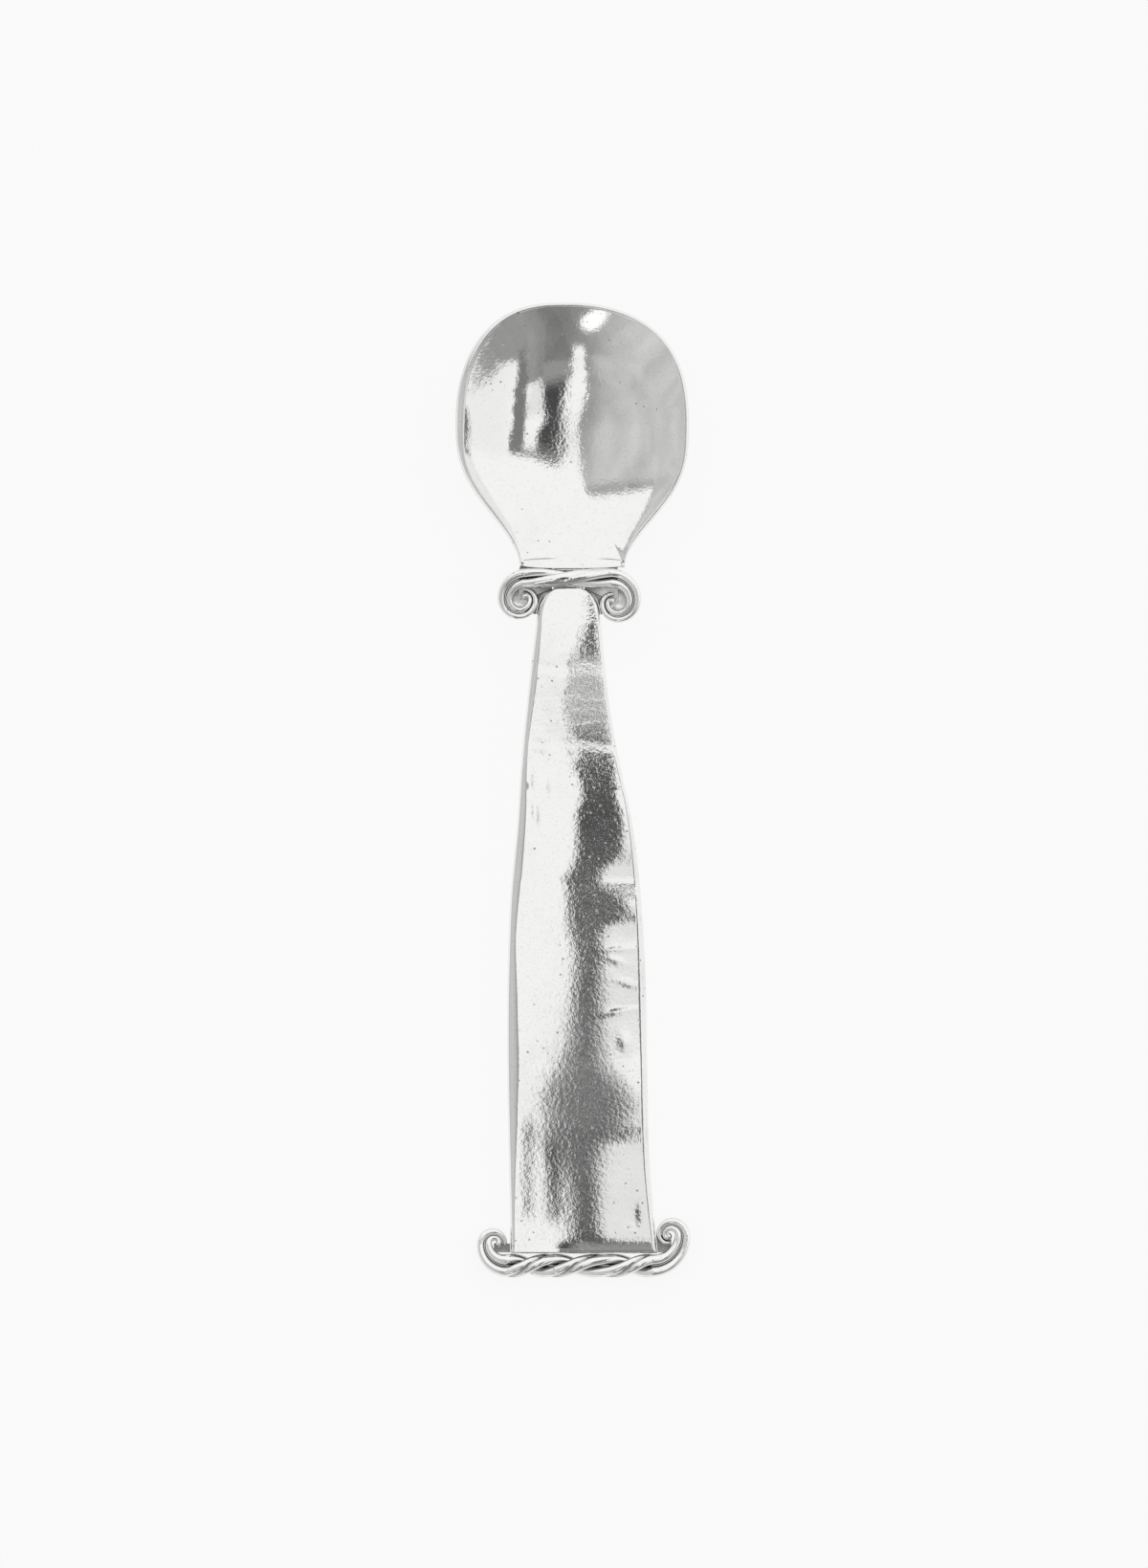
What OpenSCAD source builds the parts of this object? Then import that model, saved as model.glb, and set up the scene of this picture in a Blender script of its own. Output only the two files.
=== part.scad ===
// Sugar spoon: a dished bowl, a flat tapered handle and two twisted-wire ropes
// whose ends curl into scrolls, soldered together. Millimetres, +Z up, +Y to the
// bowl's tip, resting on the plane z = 0 with the origin under the middle.

/* [Bowl] */
// Length of the bowl from its neck end to its tip
bowl_len = 40.7; // [36:0.1:46]
// Greatest width of the bowl
bowl_w = 35.8; // [30:0.1:42]
// Distance from the neck end to the widest line
bowl_belly = 22; // [19:0.1:25]
// Width of the bowl at its neck end
bowl_neck_w = 16.2; // [13:0.1:20]
// Depth of the hollow below the rim
bowl_depth = 6.2; // [5:0.1:9]
// Thickness of the bowl's wall
bowl_wall = 1.3; // [0.8:0.1:1.8]
// How far the rim dips where it meets the neck
bowl_neck_dip = 1.8; // [0.6:0.1:2.4]
// How far the tip leans to the left
bowl_tip_lean = 1.2; // [0:0.1:3]
// Sideways place of the bowl's middle from the handle's top
bowl_shift = 0.6; // [-1:0.1:2]
// Sideways place of the bowl's lowest point from its middle
bowl_low_shift = -2.6; // [-4:0.1:4]
// Place of the bowl's lowest point from its widest line, towards the tip
bowl_low_rise = -2.4; // [-4:0.1:4]
// Height of the rim's crest above its outer edge
rim_outer_drop = 0.8; // [0.3:0.05:1]
// Height of the rim's crest above its inner edge
rim_inner_drop = 0.2; // [0.05:0.05:0.5]

/* [Handle] */
// Length of the handle from its end face to the top of its shoulders
handle_len = 102.4; // [80:0.1:130]
// Width of the handle below its shoulders
handle_top_w = 10; // [8:0.1:13]
// Width of the handle at its end face
handle_foot_w = 22.6; // [16:0.1:28]
// How far the foot stands to the right of the top
handle_lean = 2.4; // [0:0.1:4]
// Thickness of the handle along its middle
handle_thick = 3.6; // [2.8:0.1:4.6]
// Fall of the front from its ridge to the left bevel, at the foot
front_left_fall = 0.3; // [0:0.05:0.6]
// Fall of the front from its ridge to the right bevel, at the foot
front_right_fall = 0.6; // [0:0.05:0.8]
// Width of the bevel along the left side of the front
left_bevel = 1.6; // [0.4:0.1:2.4]
// Width of the bevel along the right side of the front
right_bevel = 0.9; // [0.4:0.1:2.4]
// Height that the bevels take from the sides
bevel_drop = 1; // [0.4:0.1:1.4]
// Width of the bevel along the end face
foot_bevel = 0.9; // [0.3:0.1:2]
// Length of the rounded shoulders
shoulder_len = 5.2; // [3:0.1:8]
// How far each shoulder draws in
shoulder_in = 2.6; // [1.5:0.1:2.9]
// Width of the tang that carries the bowl
tang_w = 4.6; // [3:0.1:4.8]
// Thickness of the tang
tang_thick = 1.5; // [1:0.1:2.2]
// Thickness of the tang at its end
tang_end_thick = 0.9; // [0.6:0.1:1.5]
// Length of the tang under the bowl
tang_lap = 6; // [3:0.1:8]

/* [Ropes] */
// Wire diameter at the tips of the scrolls
tip_wire_d = 0.7; // [0.5:0.05:0.9]
// Width of a wire over its thickness, pressed flat where the two wires meet
wire_flat = 1.35; // [1:0.05:1.6]
// Clearance between the two wires of a rope
wire_clear = 0.05; // [0.02:0.01:0.1]

/* [Neck rope] */
// Wire diameter of the neck rope
neck_wire_d = 1.5; // [1.1:0.05:1.9]
// Half turns of the two wires round each other, between the scrolls
neck_half_turns = 1; // [1:1:5]
// Radius at which the left scroll begins to curl
neck_left_scroll_r = 3.2; // [2.9:0.05:4]
// Radius at which the right scroll begins to curl
neck_right_scroll_r = 3.4; // [3:0.05:4]
// Room between the left scroll and the handle's shoulder
neck_left_room = 0.35; // [0.2:0.05:2]
// Room between the right scroll and the handle's shoulder
neck_right_room = 0.25; // [0.2:0.05:2]

/* [Foot rope] */
// Wire diameter of the foot rope
foot_wire_d = 1.8; // [1.3:0.05:2.2]
// Half turns of the two wires round each other, between the scrolls
foot_half_turns = 3; // [1:1:8]
// Radius at which the left scroll begins to curl
foot_left_scroll_r = 3.3; // [3:0.05:4]
// Radius at which the right scroll begins to curl
foot_right_scroll_r = 4.6; // [4:0.05:6]
// Room between the left scroll and the handle's side
foot_left_room = 0.5; // [0.1:0.05:2]
// Room between the right scroll and the handle's side
foot_right_room = 0.1; // [0.05:0.05:2]

/* [Solder] */
// Thickness of the solder film between two pieces
solder_film = 0.1; // [0.05:0.01:0.2]
// Width of the bead along the bowl's neck end
bead_w = 1.5; // [0.8:0.1:2]
// Height of the bead along the bowl's neck end
bead_h = 0.5; // [0.3:0.1:1]
// Thickness of the webs beside the handle's top
neck_web_thick = 1.1; // [0.5:0.1:1.4]
// Thickness of the webs beside the handle's foot
foot_web_thick = 0.45; // [0.3:0.05:0.6]

/* [Hidden] */

// Outer radius of each rope, over both wires
neck_rope_r = neck_wire_d + wire_clear / 2;
foot_rope_r = foot_wire_d + wire_clear / 2;

// Places along the spoon, measured from the outer side of the foot rope
foot_rope_y = foot_rope_r;
foot_y = foot_rope_y + foot_rope_r + solder_film;
shoulder_y = foot_y + handle_len;
neck_rope_y = shoulder_y + solder_film + neck_rope_r;
bowl_y = neck_rope_y + neck_rope_r + solder_film;
belly_y = bowl_y + bowl_belly;
tip_y = bowl_y + bowl_len;

// Bowl: squareness of the upper outline, fullness of each flank, roundness of the dish,
// and how close to the tip its lean and to the rim the outline's own shape begin
outline_power = 2.4;
flank_powers = [1.35, 1.5];
dish_power = 2.7;
lean_power = 6;
oval_power = 8;
rim_z = bowl_wall + bowl_depth;
neck_rim_z = rim_z - bowl_neck_dip;
arc_steps = 24;
flank_steps = 8;
end_steps = 4;
dish_rings = 10;

// Height of the tang's top at the neck, and of the handle's back there
tang_top_z = neck_rim_z - rim_outer_drop - solder_film;
neck_back_z = tang_top_z - tang_thick;
neck_rope_z = tang_top_z + solder_film + neck_rope_r;
foot_rope_z = foot_rope_r;

// Handle: share of the widening and of the lean at shares of the length from the top
widening = [
    [0, 0], [0.13, 0.22], [0.22, 0.41], [0.32, 0.62], [0.44, 0.81],
    [0.57, 0.9], [0.72, 0.92], [0.86, 0.935], [1, 1]
];
leaning = [
    [0, 0], [0.13, -0.03], [0.22, 0.12], [0.32, 0.41], [0.44, 0.47],
    [0.57, 0.53], [0.72, 0.58], [0.86, 0.71], [1, 1]
];
body_steps = 22;
shoulder_steps = 6;
tang_steps = 6;
front_steps = 3;
// Place of the front's ridge to the right of the middle, as a share of half the front's width
front_ridge = 0.25;
// Share of the side bevels' drop that the end bevel takes
end_bevel_share = 0.8;
// Small chamfer along the back's edges, and the run of the step from handle to tang
back_chamfer = 0.3;
step_run = 0.08;
// The tang's own small bevels, and the fall of its top on each side
tang_bevel = 0.25;
tang_fall = 0.06;

// Rope: sides of a wire, steps in a quarter turn of a scroll and in a half turn of the wires
wire_sides = 8;
turn_steps = 6;
half_turn_steps = 6;
// Radius of each quarter turn of a scroll, as a share of the first
neck_left_turns = neck_left_scroll_r * [1, 0.672, 0.641, 0.39];
neck_right_turns = neck_right_scroll_r * [1, 0.721, 0.574, 0.324];
foot_left_turns = foot_left_scroll_r * [1, 0.44, 0.41];
foot_right_turns = foot_right_scroll_r * [1, 0.37, 0.326, 0.216];
// Share of a wire's radius by which its end is rounded
tip_round = 0.8;

module placed() {
    translate([-middle_x, -middle_y, 0]) children();
}

// A closed skin over rings of equal length, with a point at each end
module skin(rings, first, last) {
    n = len(rings[0]);
    m = len(rings);
    side = [
        for (i = [0 : m - 2], j = [0 : n - 1])
            let (a = i * n + j, b = i * n + (j + 1) % n)
                each [[a, a + n, b + n], [a, b + n, b]]
    ];
    low = [for (j = [0 : n - 1]) [m * n, j, (j + 1) % n]];
    high = [for (j = [0 : n - 1]) [m * n + 1, (m - 1) * n + (j + 1) % n, (m - 1) * n + j]];
    polyhedron([each [for (r = rings) each r], first, last], [each side, each low, each high]);
}

function smooth(s) = s * s * (3 - 2 * s);
function mean(list) = [for (k = [0 : 2]) sum([for (p = list) p[k]]) / len(list)];
function sum(list, i = 0) = i == len(list) ? 0 : list[i] + sum(list, i + 1);

// A smooth curve through knots of [place, value]
function knot_slope(k, i) =
    let (a = max(i - 1, 0), b = min(i + 1, len(k) - 1))
    (k[b][1] - k[a][1]) / (k[b][0] - k[a][0]);
function span_of(k, t, i = 0) = i >= len(k) - 2 || t < k[i + 1][0] ? i : span_of(k, t, i + 1);
function through(k, t) =
    let (i = span_of(k, t), h = k[i + 1][0] - k[i][0], u = (t - k[i][0]) / h)
    (2 * u ^ 3 - 3 * u ^ 2 + 1) * k[i][1] + (u ^ 3 - 2 * u ^ 2 + u) * h * knot_slope(k, i)
    + (3 * u ^ 2 - 2 * u ^ 3) * k[i + 1][1] + (u ^ 3 - u ^ 2) * h * knot_slope(k, i + 1);

// Bowl outline as [x, y, share], where share rises from 0 at the belly to 1 at the neck
function bowl_arc(a) =
    let (c = cos(a), s = sin(a), up = abs(s) ^ (2 / outline_power))
    [
        bowl_shift + sign(c) * abs(c) ^ (2 / outline_power) * bowl_w / 2 - bowl_tip_lean * up ^ lean_power,
        belly_y + up * (bowl_len - bowl_belly),
        0
    ];
function flank_half_w(side, s) =
    let (power = flank_powers[side < 0 ? 0 : 1])
    (bowl_neck_w + (bowl_w - bowl_neck_w) * (1 + cos(180 * s ^ power)) / 2) / 2;
function bowl_flank(side, s) = [bowl_shift + side * flank_half_w(side, s), belly_y - s * bowl_belly, s];
bowl_outline = [
    each [for (i = [0 : arc_steps - 1]) bowl_arc(180 * i / arc_steps)],
    each [for (i = [0 : flank_steps - 1]) bowl_flank(-1, i / flank_steps)],
    each [for (i = [0 : end_steps - 1]) [bowl_shift + (i / end_steps - 0.5) * bowl_neck_w, bowl_y, 1]],
    each [for (i = [flank_steps : -1 : 1]) bowl_flank(1, i / flank_steps)]
];
function bowl_rim_z(p) = rim_z - bowl_neck_dip * smooth(p[2]);

// Distance from the belly's middle to a plain oval, the way that the point d lies
function oval_reach(d) =
    norm(d) / norm([2 * d[0] / bowl_w, d[1] / (d[1] < 0 ? bowl_belly : bowl_len - bowl_belly)]);

// A ring of the bowl at the share rho of its reach: an oval in the middle, which takes
// on the outline's own shape, drawn in by an inset, towards the rim
function bowl_ring(inset, rho, low, drop) = [
    for (p = bowl_outline)
        let (
            d = [p[0] - bowl_shift, p[1] - belly_y],
            reach = oval_reach(d) + (norm(d) - oval_reach(d)) * rho ^ oval_power - inset,
            k = rho * reach / norm(d)
        )
        [
            bowl_shift + bowl_low_shift * (1 - rho) + k * d[0],
            belly_y + bowl_low_rise * (1 - rho) + k * d[1],
            low + (bowl_rim_z(p) - drop - low) * rho ^ dish_power
        ]
];

// Height of the bowl's underside above its middle line, near the neck
function bowl_under_z(y) =
    let (rho = (belly_y + bowl_low_rise - y) / (bowl_belly + bowl_low_rise))
    (neck_rim_z - rim_outer_drop) * rho ^ dish_power;

module bowl() {
    inside = [
        for (i = [1 : dish_rings]) bowl_ring(bowl_wall, i / dish_rings, bowl_wall, rim_inner_drop)
    ];
    crest = bowl_ring(bowl_wall / 2, 1, 0, 0);
    outside = [for (i = [dish_rings : -1 : 1]) bowl_ring(0, i / dish_rings, 0, rim_outer_drop)];
    low_x = bowl_shift + bowl_low_shift;
    low_y = belly_y + bowl_low_rise;
    color("gainsboro") placed()
        skin([each inside, crest, each outside], [low_x, low_y, bowl_wall], [low_x, low_y, 0]);
}

// Handle edges in plan, with the shoulders drawn in as quarter ellipses
shoulder_start_y = shoulder_y - shoulder_len;
function handle_share(y) = max(0, (shoulder_start_y - y) / (shoulder_start_y - foot_y));
function drawn_in(y) =
    let (s = min(1, max(0, (y - shoulder_start_y) / shoulder_len)))
    shoulder_in * (1 - sqrt(1 - s * s));
function handle_mid_x(y) = handle_lean * through(leaning, handle_share(y));
function handle_half_w(y) =
    (handle_top_w + (handle_foot_w - handle_top_w) * through(widening, handle_share(y))) / 2 - drawn_in(y);
function handle_edge_x(side, y) = handle_mid_x(y) + side * handle_half_w(y);
function back_z(y) = neck_back_z * (y - foot_y) / handle_len;

// Section across the handle: flat back, straight sides, two bevels, and a front that falls
// away on both sides of its ridge
function bar_section(y, xl, xr, low, thick, chamfer, bevels, drop, ridge, falls) =
    let (
        top = low + thick,
        fl = xl + bevels[0],
        fr = xr - bevels[1],
        mid = (fl + fr) / 2 + ridge * (fr - fl) / 2
    )
    [
        [xl + chamfer, y, low], [xl, y, low + chamfer], [xl, y, top - falls[0] - drop],
        for (i = [0 : front_steps])
            let (u = i / front_steps)
            [fl + (mid - fl) * u, y, top - falls[0] * (1 - u) ^ 2],
        for (i = [1 : front_steps])
            let (u = i / front_steps)
            [mid + (fr - mid) * u, y, top - falls[1] * u ^ 2],
        [xr, y, top - falls[1] - drop], [xr, y, low + chamfer], [xr - chamfer, y, low]
    ];
function handle_section(y, end_share) = bar_section(
    y, handle_edge_x(-1, y), handle_edge_x(1, y), back_z(y),
    handle_thick - end_share * bevel_drop, back_chamfer,
    [left_bevel, right_bevel] * min(1, handle_half_w(y) / (left_bevel + right_bevel)),
    (1 - end_share) * bevel_drop, front_ridge,
    [front_left_fall, front_right_fall] * handle_half_w(y) / handle_half_w(foot_y)
);
function tang_section(y, top, thick) = bar_section(
    y, -tang_w / 2, tang_w / 2, top - thick, thick, tang_bevel, [tang_bevel, tang_bevel],
    tang_bevel, 0, [tang_fall, tang_fall]
);

module handle() {
    body = [
        for (i = [0 : body_steps])
            let (y = foot_y + foot_bevel + (shoulder_start_y - foot_y - foot_bevel) * i / body_steps)
            handle_section(y, 0)
    ];
    shoulders = [
        for (i = [1 : shoulder_steps])
            handle_section(shoulder_start_y + shoulder_len * sin(90 * i / shoulder_steps), 0)
    ];
    tang = [
        tang_section(shoulder_y + step_run, tang_top_z, tang_thick),
        tang_section(bowl_y, tang_top_z, tang_thick),
        for (i = [1 : tang_steps])
            let (y = bowl_y + tang_lap * i / tang_steps)
            tang_section(
                y, bowl_under_z(y) - solder_film,
                tang_thick + (tang_end_thick - tang_thick) * smooth(i / tang_steps)
            )
    ];
    rings = [handle_section(foot_y, end_bevel_share), each body, each shoulders, each tang];
    color("silver") placed()
        skin(rings, mean(rings[0]), mean(rings[len(rings) - 1]));
}

// A scroll in its own plane, as [forward, rise, heading, run], from quarter turns
function arc_move(r, h, a) = r * [sin(h + a) - sin(h), cos(h) - cos(h + a)];
function turn_start(turns, i) =
    i == 0 ? [0, 0] : turn_start(turns, i - 1) + arc_move(turns[i - 1], 90 * (i - 1), 90);
function run_before(turns, i) = i == 0 ? 0 : run_before(turns, i - 1) + turns[i - 1] * PI / 2;
function scroll(turns) = [
    for (i = [0 : len(turns) - 1], j = [1 : turn_steps])
        let (a = 90 * j / turn_steps, p = turn_start(turns, i) + arc_move(turns[i], 90 * i, a))
        [p[0], p[1], 90 * i + a, run_before(turns, i) + turns[i] * a * PI / 180]
];
function scroll_run(turns) = run_before(turns, len(turns));

// Radius of a wire at a run along a scroll, which thins evenly towards the tip, and of the
// whole rope after some of its quarter turns
function scroll_wire_r(wire_d, turns, run) =
    (tip_wire_d + (wire_d - tip_wire_d) * (1 - run / scroll_run(turns))) / 2;
function scroll_rope_r(wire_d, turns, i) =
    2 * scroll_wire_r(wire_d, turns, run_before(turns, i)) + wire_clear / 2;

// Where a scroll begins, so that its inner side, after three quarter turns, clears the
// handle's edge by the room given
function scroll_start_x(side, wire_d, turns, edge_x, room) =
    edge_x + side * (room + scroll_rope_r(wire_d, turns, 3) - turns[0] + turns[1] + turns[2]);
function neck_scroll_x(side, turns, room) =
    let (edge_x = handle_edge_x(side, neck_rope_y - turns[0] - turns[1] + turns[2]))
    scroll_start_x(side, neck_wire_d, turns, edge_x, room);
function foot_scroll_x(side, turns, room) =
    let (edge_x = handle_edge_x(side, foot_rope_y + turns[0] + turns[1] - turns[2]))
    scroll_start_x(side, foot_wire_d, turns, edge_x, room);
neck_left_x = neck_scroll_x(-1, neck_left_turns, neck_left_room);
neck_right_x = neck_scroll_x(1, neck_right_turns, neck_right_room);
foot_left_x = foot_scroll_x(-1, foot_left_turns, foot_left_room);
foot_right_x = foot_scroll_x(1, foot_right_turns, foot_right_room);

// Furthest reach of the foot rope's right scroll, after its first quarter turn
foot_right_reach = foot_right_x + foot_right_turns[0] + scroll_rope_r(foot_wire_d, foot_right_turns, 1);

// The tops of the webs, and how far the scrolls sink until their tips lie on these
neck_web_z = tang_top_z - solder_film;
foot_web_z = solder_film + foot_web_thick;
tip_seat = wire_flat * tip_wire_d / 2 + solder_film;
neck_scroll_sink = neck_rope_z - neck_web_z - tip_seat;
foot_scroll_sink = foot_rope_z - foot_web_z - tip_seat;

// The working frame has the handle's top at x = 0: these put the origin in the middle
middle_x = (bowl_shift - bowl_w / 2 + foot_right_reach) / 2;
middle_y = tip_y / 2;

// Middle line of a rope, as [x, y, z, heading x, heading y, turn of the wires, wire radius, run],
// left to right. The wires lie side by side in the scrolls and twist only between them.
// up is 1 for scrolls that curl up the spoon and -1 for scrolls that curl down it.
function rope_line(y, z, xl, xr, left, right, up, wire_d, sink, half_turns) =
    let (
        ll = scroll_run(left),
        lr = scroll_run(right),
        ls = scroll(left),
        n = half_turns * half_turn_steps
    )
    [
        for (i = [len(ls) - 1 : -1 : 0])
            let (p = ls[i])
            [
                xl - p[0], y + up * p[1], z - sink * p[3] / ll,
                cos(p[2]), -up * sin(p[2]), 0, scroll_wire_r(wire_d, left, p[3]), ll - p[3]
            ],
        for (i = [0 : n])
            let (s = (xr - xl) * i / n)
            [xl + s, y, z, 1, 0, 180 * half_turns * i / n, wire_d / 2, ll + s],
        for (p = scroll(right))
            [
                xr + p[0], y + up * p[1], z - sink * p[3] / lr, cos(p[2]), up * sin(p[2]),
                180 * half_turns, scroll_wire_r(wire_d, right, p[3]), ll + xr - xl + p[3]
            ]
    ];
neck_line = rope_line(
    neck_rope_y, neck_rope_z, neck_left_x, neck_right_x,
    neck_left_turns, neck_right_turns, -1, neck_wire_d, neck_scroll_sink, neck_half_turns
);
foot_line = rope_line(
    foot_rope_y, foot_rope_z, foot_left_x, foot_right_x,
    foot_left_turns, foot_right_turns, 1, foot_wire_d, foot_scroll_sink, foot_half_turns
);

// One wire of a rope: oval sections that circle the rope's middle line, from a first turn
function across(p, a, r) = [-p[4] * cos(a) * r, p[3] * cos(a) * r, sin(a) * r];
function wire_angle(p, phase) = phase - p[5];
function wire_centre(p, phase) =
    [p[0], p[1], p[2]] + across(p, wire_angle(p, phase), p[6] + wire_clear / 2);
function wire_tip(p, phase, way) = wire_centre(p, phase) + way * tip_round * p[6] * [p[3], p[4], 0];
function wire_ring(p, phase) =
    let (c = wire_centre(p, phase), a = wire_angle(p, phase))
    [
        for (k = [0 : wire_sides - 1])
            let (b = -360 * k / wire_sides)
            c + across(p, a, p[6] * cos(b)) + across(p, a + 90, wire_flat * p[6] * sin(b))
    ];
module wire(line, phase) {
    rings = [for (p = line) wire_ring(p, phase)];
    skin(rings, wire_tip(line[0], phase, -1), wire_tip(line[len(line) - 1], phase, 1));
}

// Least gap of a wire to its own turns beyond a run along it, measured on its points
gap_run = 6;
function wire_gap(line, phase) =
    let (rings = [for (p = line) wire_ring(p, phase)], n = len(line))
    min([
        for (i = [0 : n - 2], j = [i + 1 : n - 1])
            if (line[j][7] - line[i][7] > gap_run)
                min([for (s = rings[i], t = rings[j]) norm(t - s)])
    ]);
echo(neck_wire_gaps = [wire_gap(neck_line, 0), wire_gap(neck_line, 180)]);
echo(foot_wire_gaps = [wire_gap(foot_line, 0), wire_gap(foot_line, 180)]);

module neck_wire_a() {
    color("lightgray") placed() wire(neck_line, 0);
}

module neck_wire_b() {
    color("darkgray") placed() wire(neck_line, 180);
}

module foot_wire_a() {
    color("lightgray") placed() wire(foot_line, 0);
}

module foot_wire_b() {
    color("darkgray") placed() wire(foot_line, 180);
}

// Half-round bead of solder along the bowl's neck end, thinner towards its ends
bead_steps = 8;
bead_sides = 6;
bead_end_share = 0.6;
module bowl_seam_solder() {
    half = bowl_neck_w / 2 - bowl_wall / 2;
    low = neck_rim_z + solder_film;
    rings = [
        for (i = [0 : bead_steps])
            let (u = 2 * i / bead_steps - 1, k = 1 - (1 - bead_end_share) * u ^ 4)
            [
                for (j = [0 : bead_sides])
                    let (a = 180 * j / bead_sides)
                    [bowl_shift + u * half, bowl_y + bead_w / 2 * (1 - k * cos(a)), low + k * bead_h * sin(a)]
            ]
    ];
    color("whitesmoke") placed()
        skin(rings, mean(rings[0]), mean(rings[bead_steps]));
}

// Web of solder on one side of the handle's top: it follows the shoulder and the tang
// to the bowl's end, and runs out under the rope and the scroll
web_arc = [90 : 20 : 250];
web_reach = 0.8;
module neck_web(side, turns, rope_x) {
    far_x = rope_x + side * (turns[0] - turns[1]);
    far_y = neck_rope_y - turns[0];
    r = web_reach * turns[1];
    inner = [
        for (i = [1 : shoulder_steps])
            let (y = shoulder_start_y + shoulder_len * sin(90 * i / shoulder_steps))
            [handle_edge_x(side, y) + side * solder_film, y]
    ];
    outer = [for (a = web_arc) [far_x + side * -r * cos(a), far_y + r * sin(a)]];
    polygon([each inner, [side * (tang_w / 2 + solder_film), bowl_y], [far_x, bowl_y], each outer]);
}

module neck_solder_webs() {
    color("darkgray") placed()
        translate([0, 0, neck_web_z - neck_web_thick]) linear_extrude(neck_web_thick) {
            neck_web(-1, neck_left_turns, neck_left_x);
            neck_web(1, neck_right_turns, neck_right_x);
        }
}

// Web of solder on one side of the handle's foot, low between the side and the scroll
module foot_web(side, turns, rope_x) {
    far_x = rope_x + side * (turns[0] - turns[1]);
    far_y = foot_rope_y + turns[0];
    polygon([
        [handle_edge_x(side, foot_y) + side * solder_film, foot_y],
        [far_x, foot_y],
        [far_x, far_y],
        [handle_edge_x(side, far_y) + side * solder_film, far_y]
    ]);
}

module foot_solder_webs() {
    color("darkgray") placed()
        translate([0, 0, solder_film]) linear_extrude(foot_web_thick) {
            foot_web(-1, foot_left_turns, foot_left_x);
            foot_web(1, foot_right_turns, foot_right_x);
        }
}

bowl();
handle();
neck_wire_a();
neck_wire_b();
foot_wire_a();
foot_wire_b();
bowl_seam_solder();
neck_solder_webs();
foot_solder_webs();
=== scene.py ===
"""A sugar spoon in polished cast pewter, seen from straight above on a pale floor.

The surfaces are worked out in millimetres in a working frame, with x = 0 at the handle's
top and y = 0 at the outer side of the foot rope, and are then moved to the part's frame.
"""
import bpy
import numpy as np
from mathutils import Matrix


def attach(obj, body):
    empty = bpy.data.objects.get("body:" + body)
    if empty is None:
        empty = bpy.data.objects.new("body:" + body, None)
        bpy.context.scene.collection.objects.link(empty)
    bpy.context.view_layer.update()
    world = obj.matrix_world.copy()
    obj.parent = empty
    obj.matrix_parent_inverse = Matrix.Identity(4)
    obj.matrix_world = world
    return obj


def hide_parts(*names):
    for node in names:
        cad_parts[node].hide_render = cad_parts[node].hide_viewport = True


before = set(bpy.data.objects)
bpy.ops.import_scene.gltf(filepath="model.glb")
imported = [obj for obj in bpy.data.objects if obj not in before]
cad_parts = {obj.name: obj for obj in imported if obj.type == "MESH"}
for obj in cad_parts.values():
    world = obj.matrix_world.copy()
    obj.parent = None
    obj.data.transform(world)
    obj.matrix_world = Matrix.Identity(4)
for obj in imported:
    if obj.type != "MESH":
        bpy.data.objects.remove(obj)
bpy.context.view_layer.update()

# One millimetre in metres
MM = 0.001

# Bowl
BOWL_LEN = 40.7
BOWL_W = 35.8
BOWL_BELLY = 22.0
BOWL_NECK_W = 16.2
BOWL_DEPTH = 6.2
BOWL_WALL = 1.3
BOWL_NECK_DIP = 1.8
BOWL_TIP_LEAN = 1.2
BOWL_SHIFT = 0.6
BOWL_LOW_SHIFT = -2.6
BOWL_LOW_RISE = -2.4
RIM_OUTER_DROP = 0.8
RIM_INNER_DROP = 0.2
OUTLINE_POWER = 2.4
FLANK_POWERS = {-1: 1.35, 1: 1.5}
DISH_POWER = 2.7
LEAN_POWER = 6
OVAL_POWER = 8
# Steps along the outline's arc, each flank and the neck end, and rings of the dish and the lip
ARC_STEPS = 150
FLANK_STEPS = 54
NECK_END_STEPS = 36
INSIDE_RINGS = 64
LIP_STEPS = 12
OUTSIDE_RINGS = 48
# The lip is thin, but broad and rolled on the left side: its width, what the left side adds, the
# degrees above the left at which it is broadest, and how far round that reaches
LIP_W = 0.42
LIP_SWELL = 0.75
LIP_SWELL_AT = 8
LIP_SWELL_REACH = 38
# Height of the lip's crest, and the share of its width by which it is higher
LIP_H = 0.12
LIP_H_SHARE = 0.2
# Painted shade: how dark the lip's edges and the outside are painted, and the angle over the lip at which
# each edge begins, with the angle it takes
LIP_EDGE_SHADE = 0.5
INNER_EDGE = (0.75, 0.3)
OUTER_EDGE = (2.3, 0.5)
OUTSIDE_SHADE = 0.35

# Handle
HANDLE_LEN = 102.4
HANDLE_TOP_W = 10.0
HANDLE_FOOT_W = 22.6
HANDLE_LEAN = 2.4
HANDLE_THICK = 3.6
# Slopes of the front: its roll to the right about one x, and its fall on each side of its band
FRONT_ROLL = 0.016
ROLL_X = 3
LEFT_FALL = 0.044
RIGHT_FALL = 0.07
# The bevels, the rounded shoulders, and the tang that laps under the bowl
BEVEL_DROP = 1.0
FOOT_BEVEL = 0.9
END_BEVEL_SHARE = 0.8
SHOULDER_LEN = 5.2
SHOULDER_IN = 2.6
TANG_W = 4.6
TANG_THICK = 1.5
TANG_END_THICK = 0.9
TANG_LAP = 6.0
TANG_BEVEL = 0.25
BACK_CHAMFER = 0.3
STEP_RUN = 0.08
# Points of a section across the front, each bevel, each side, each chamfer and the back, and
# rows along the end bevel, the body, the shoulders and the tang's lap
FRONT_POINTS = 64
BEVEL_POINTS = 16
SIDE_POINTS = 8
CHAMFER_POINTS = 4
BACK_POINTS = 14
END_ROWS = 24
BODY_ROWS = 360
SHOULDER_ROWS = 28
LAP_ROWS = 20
SOFTEN_PASSES = 2
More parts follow.
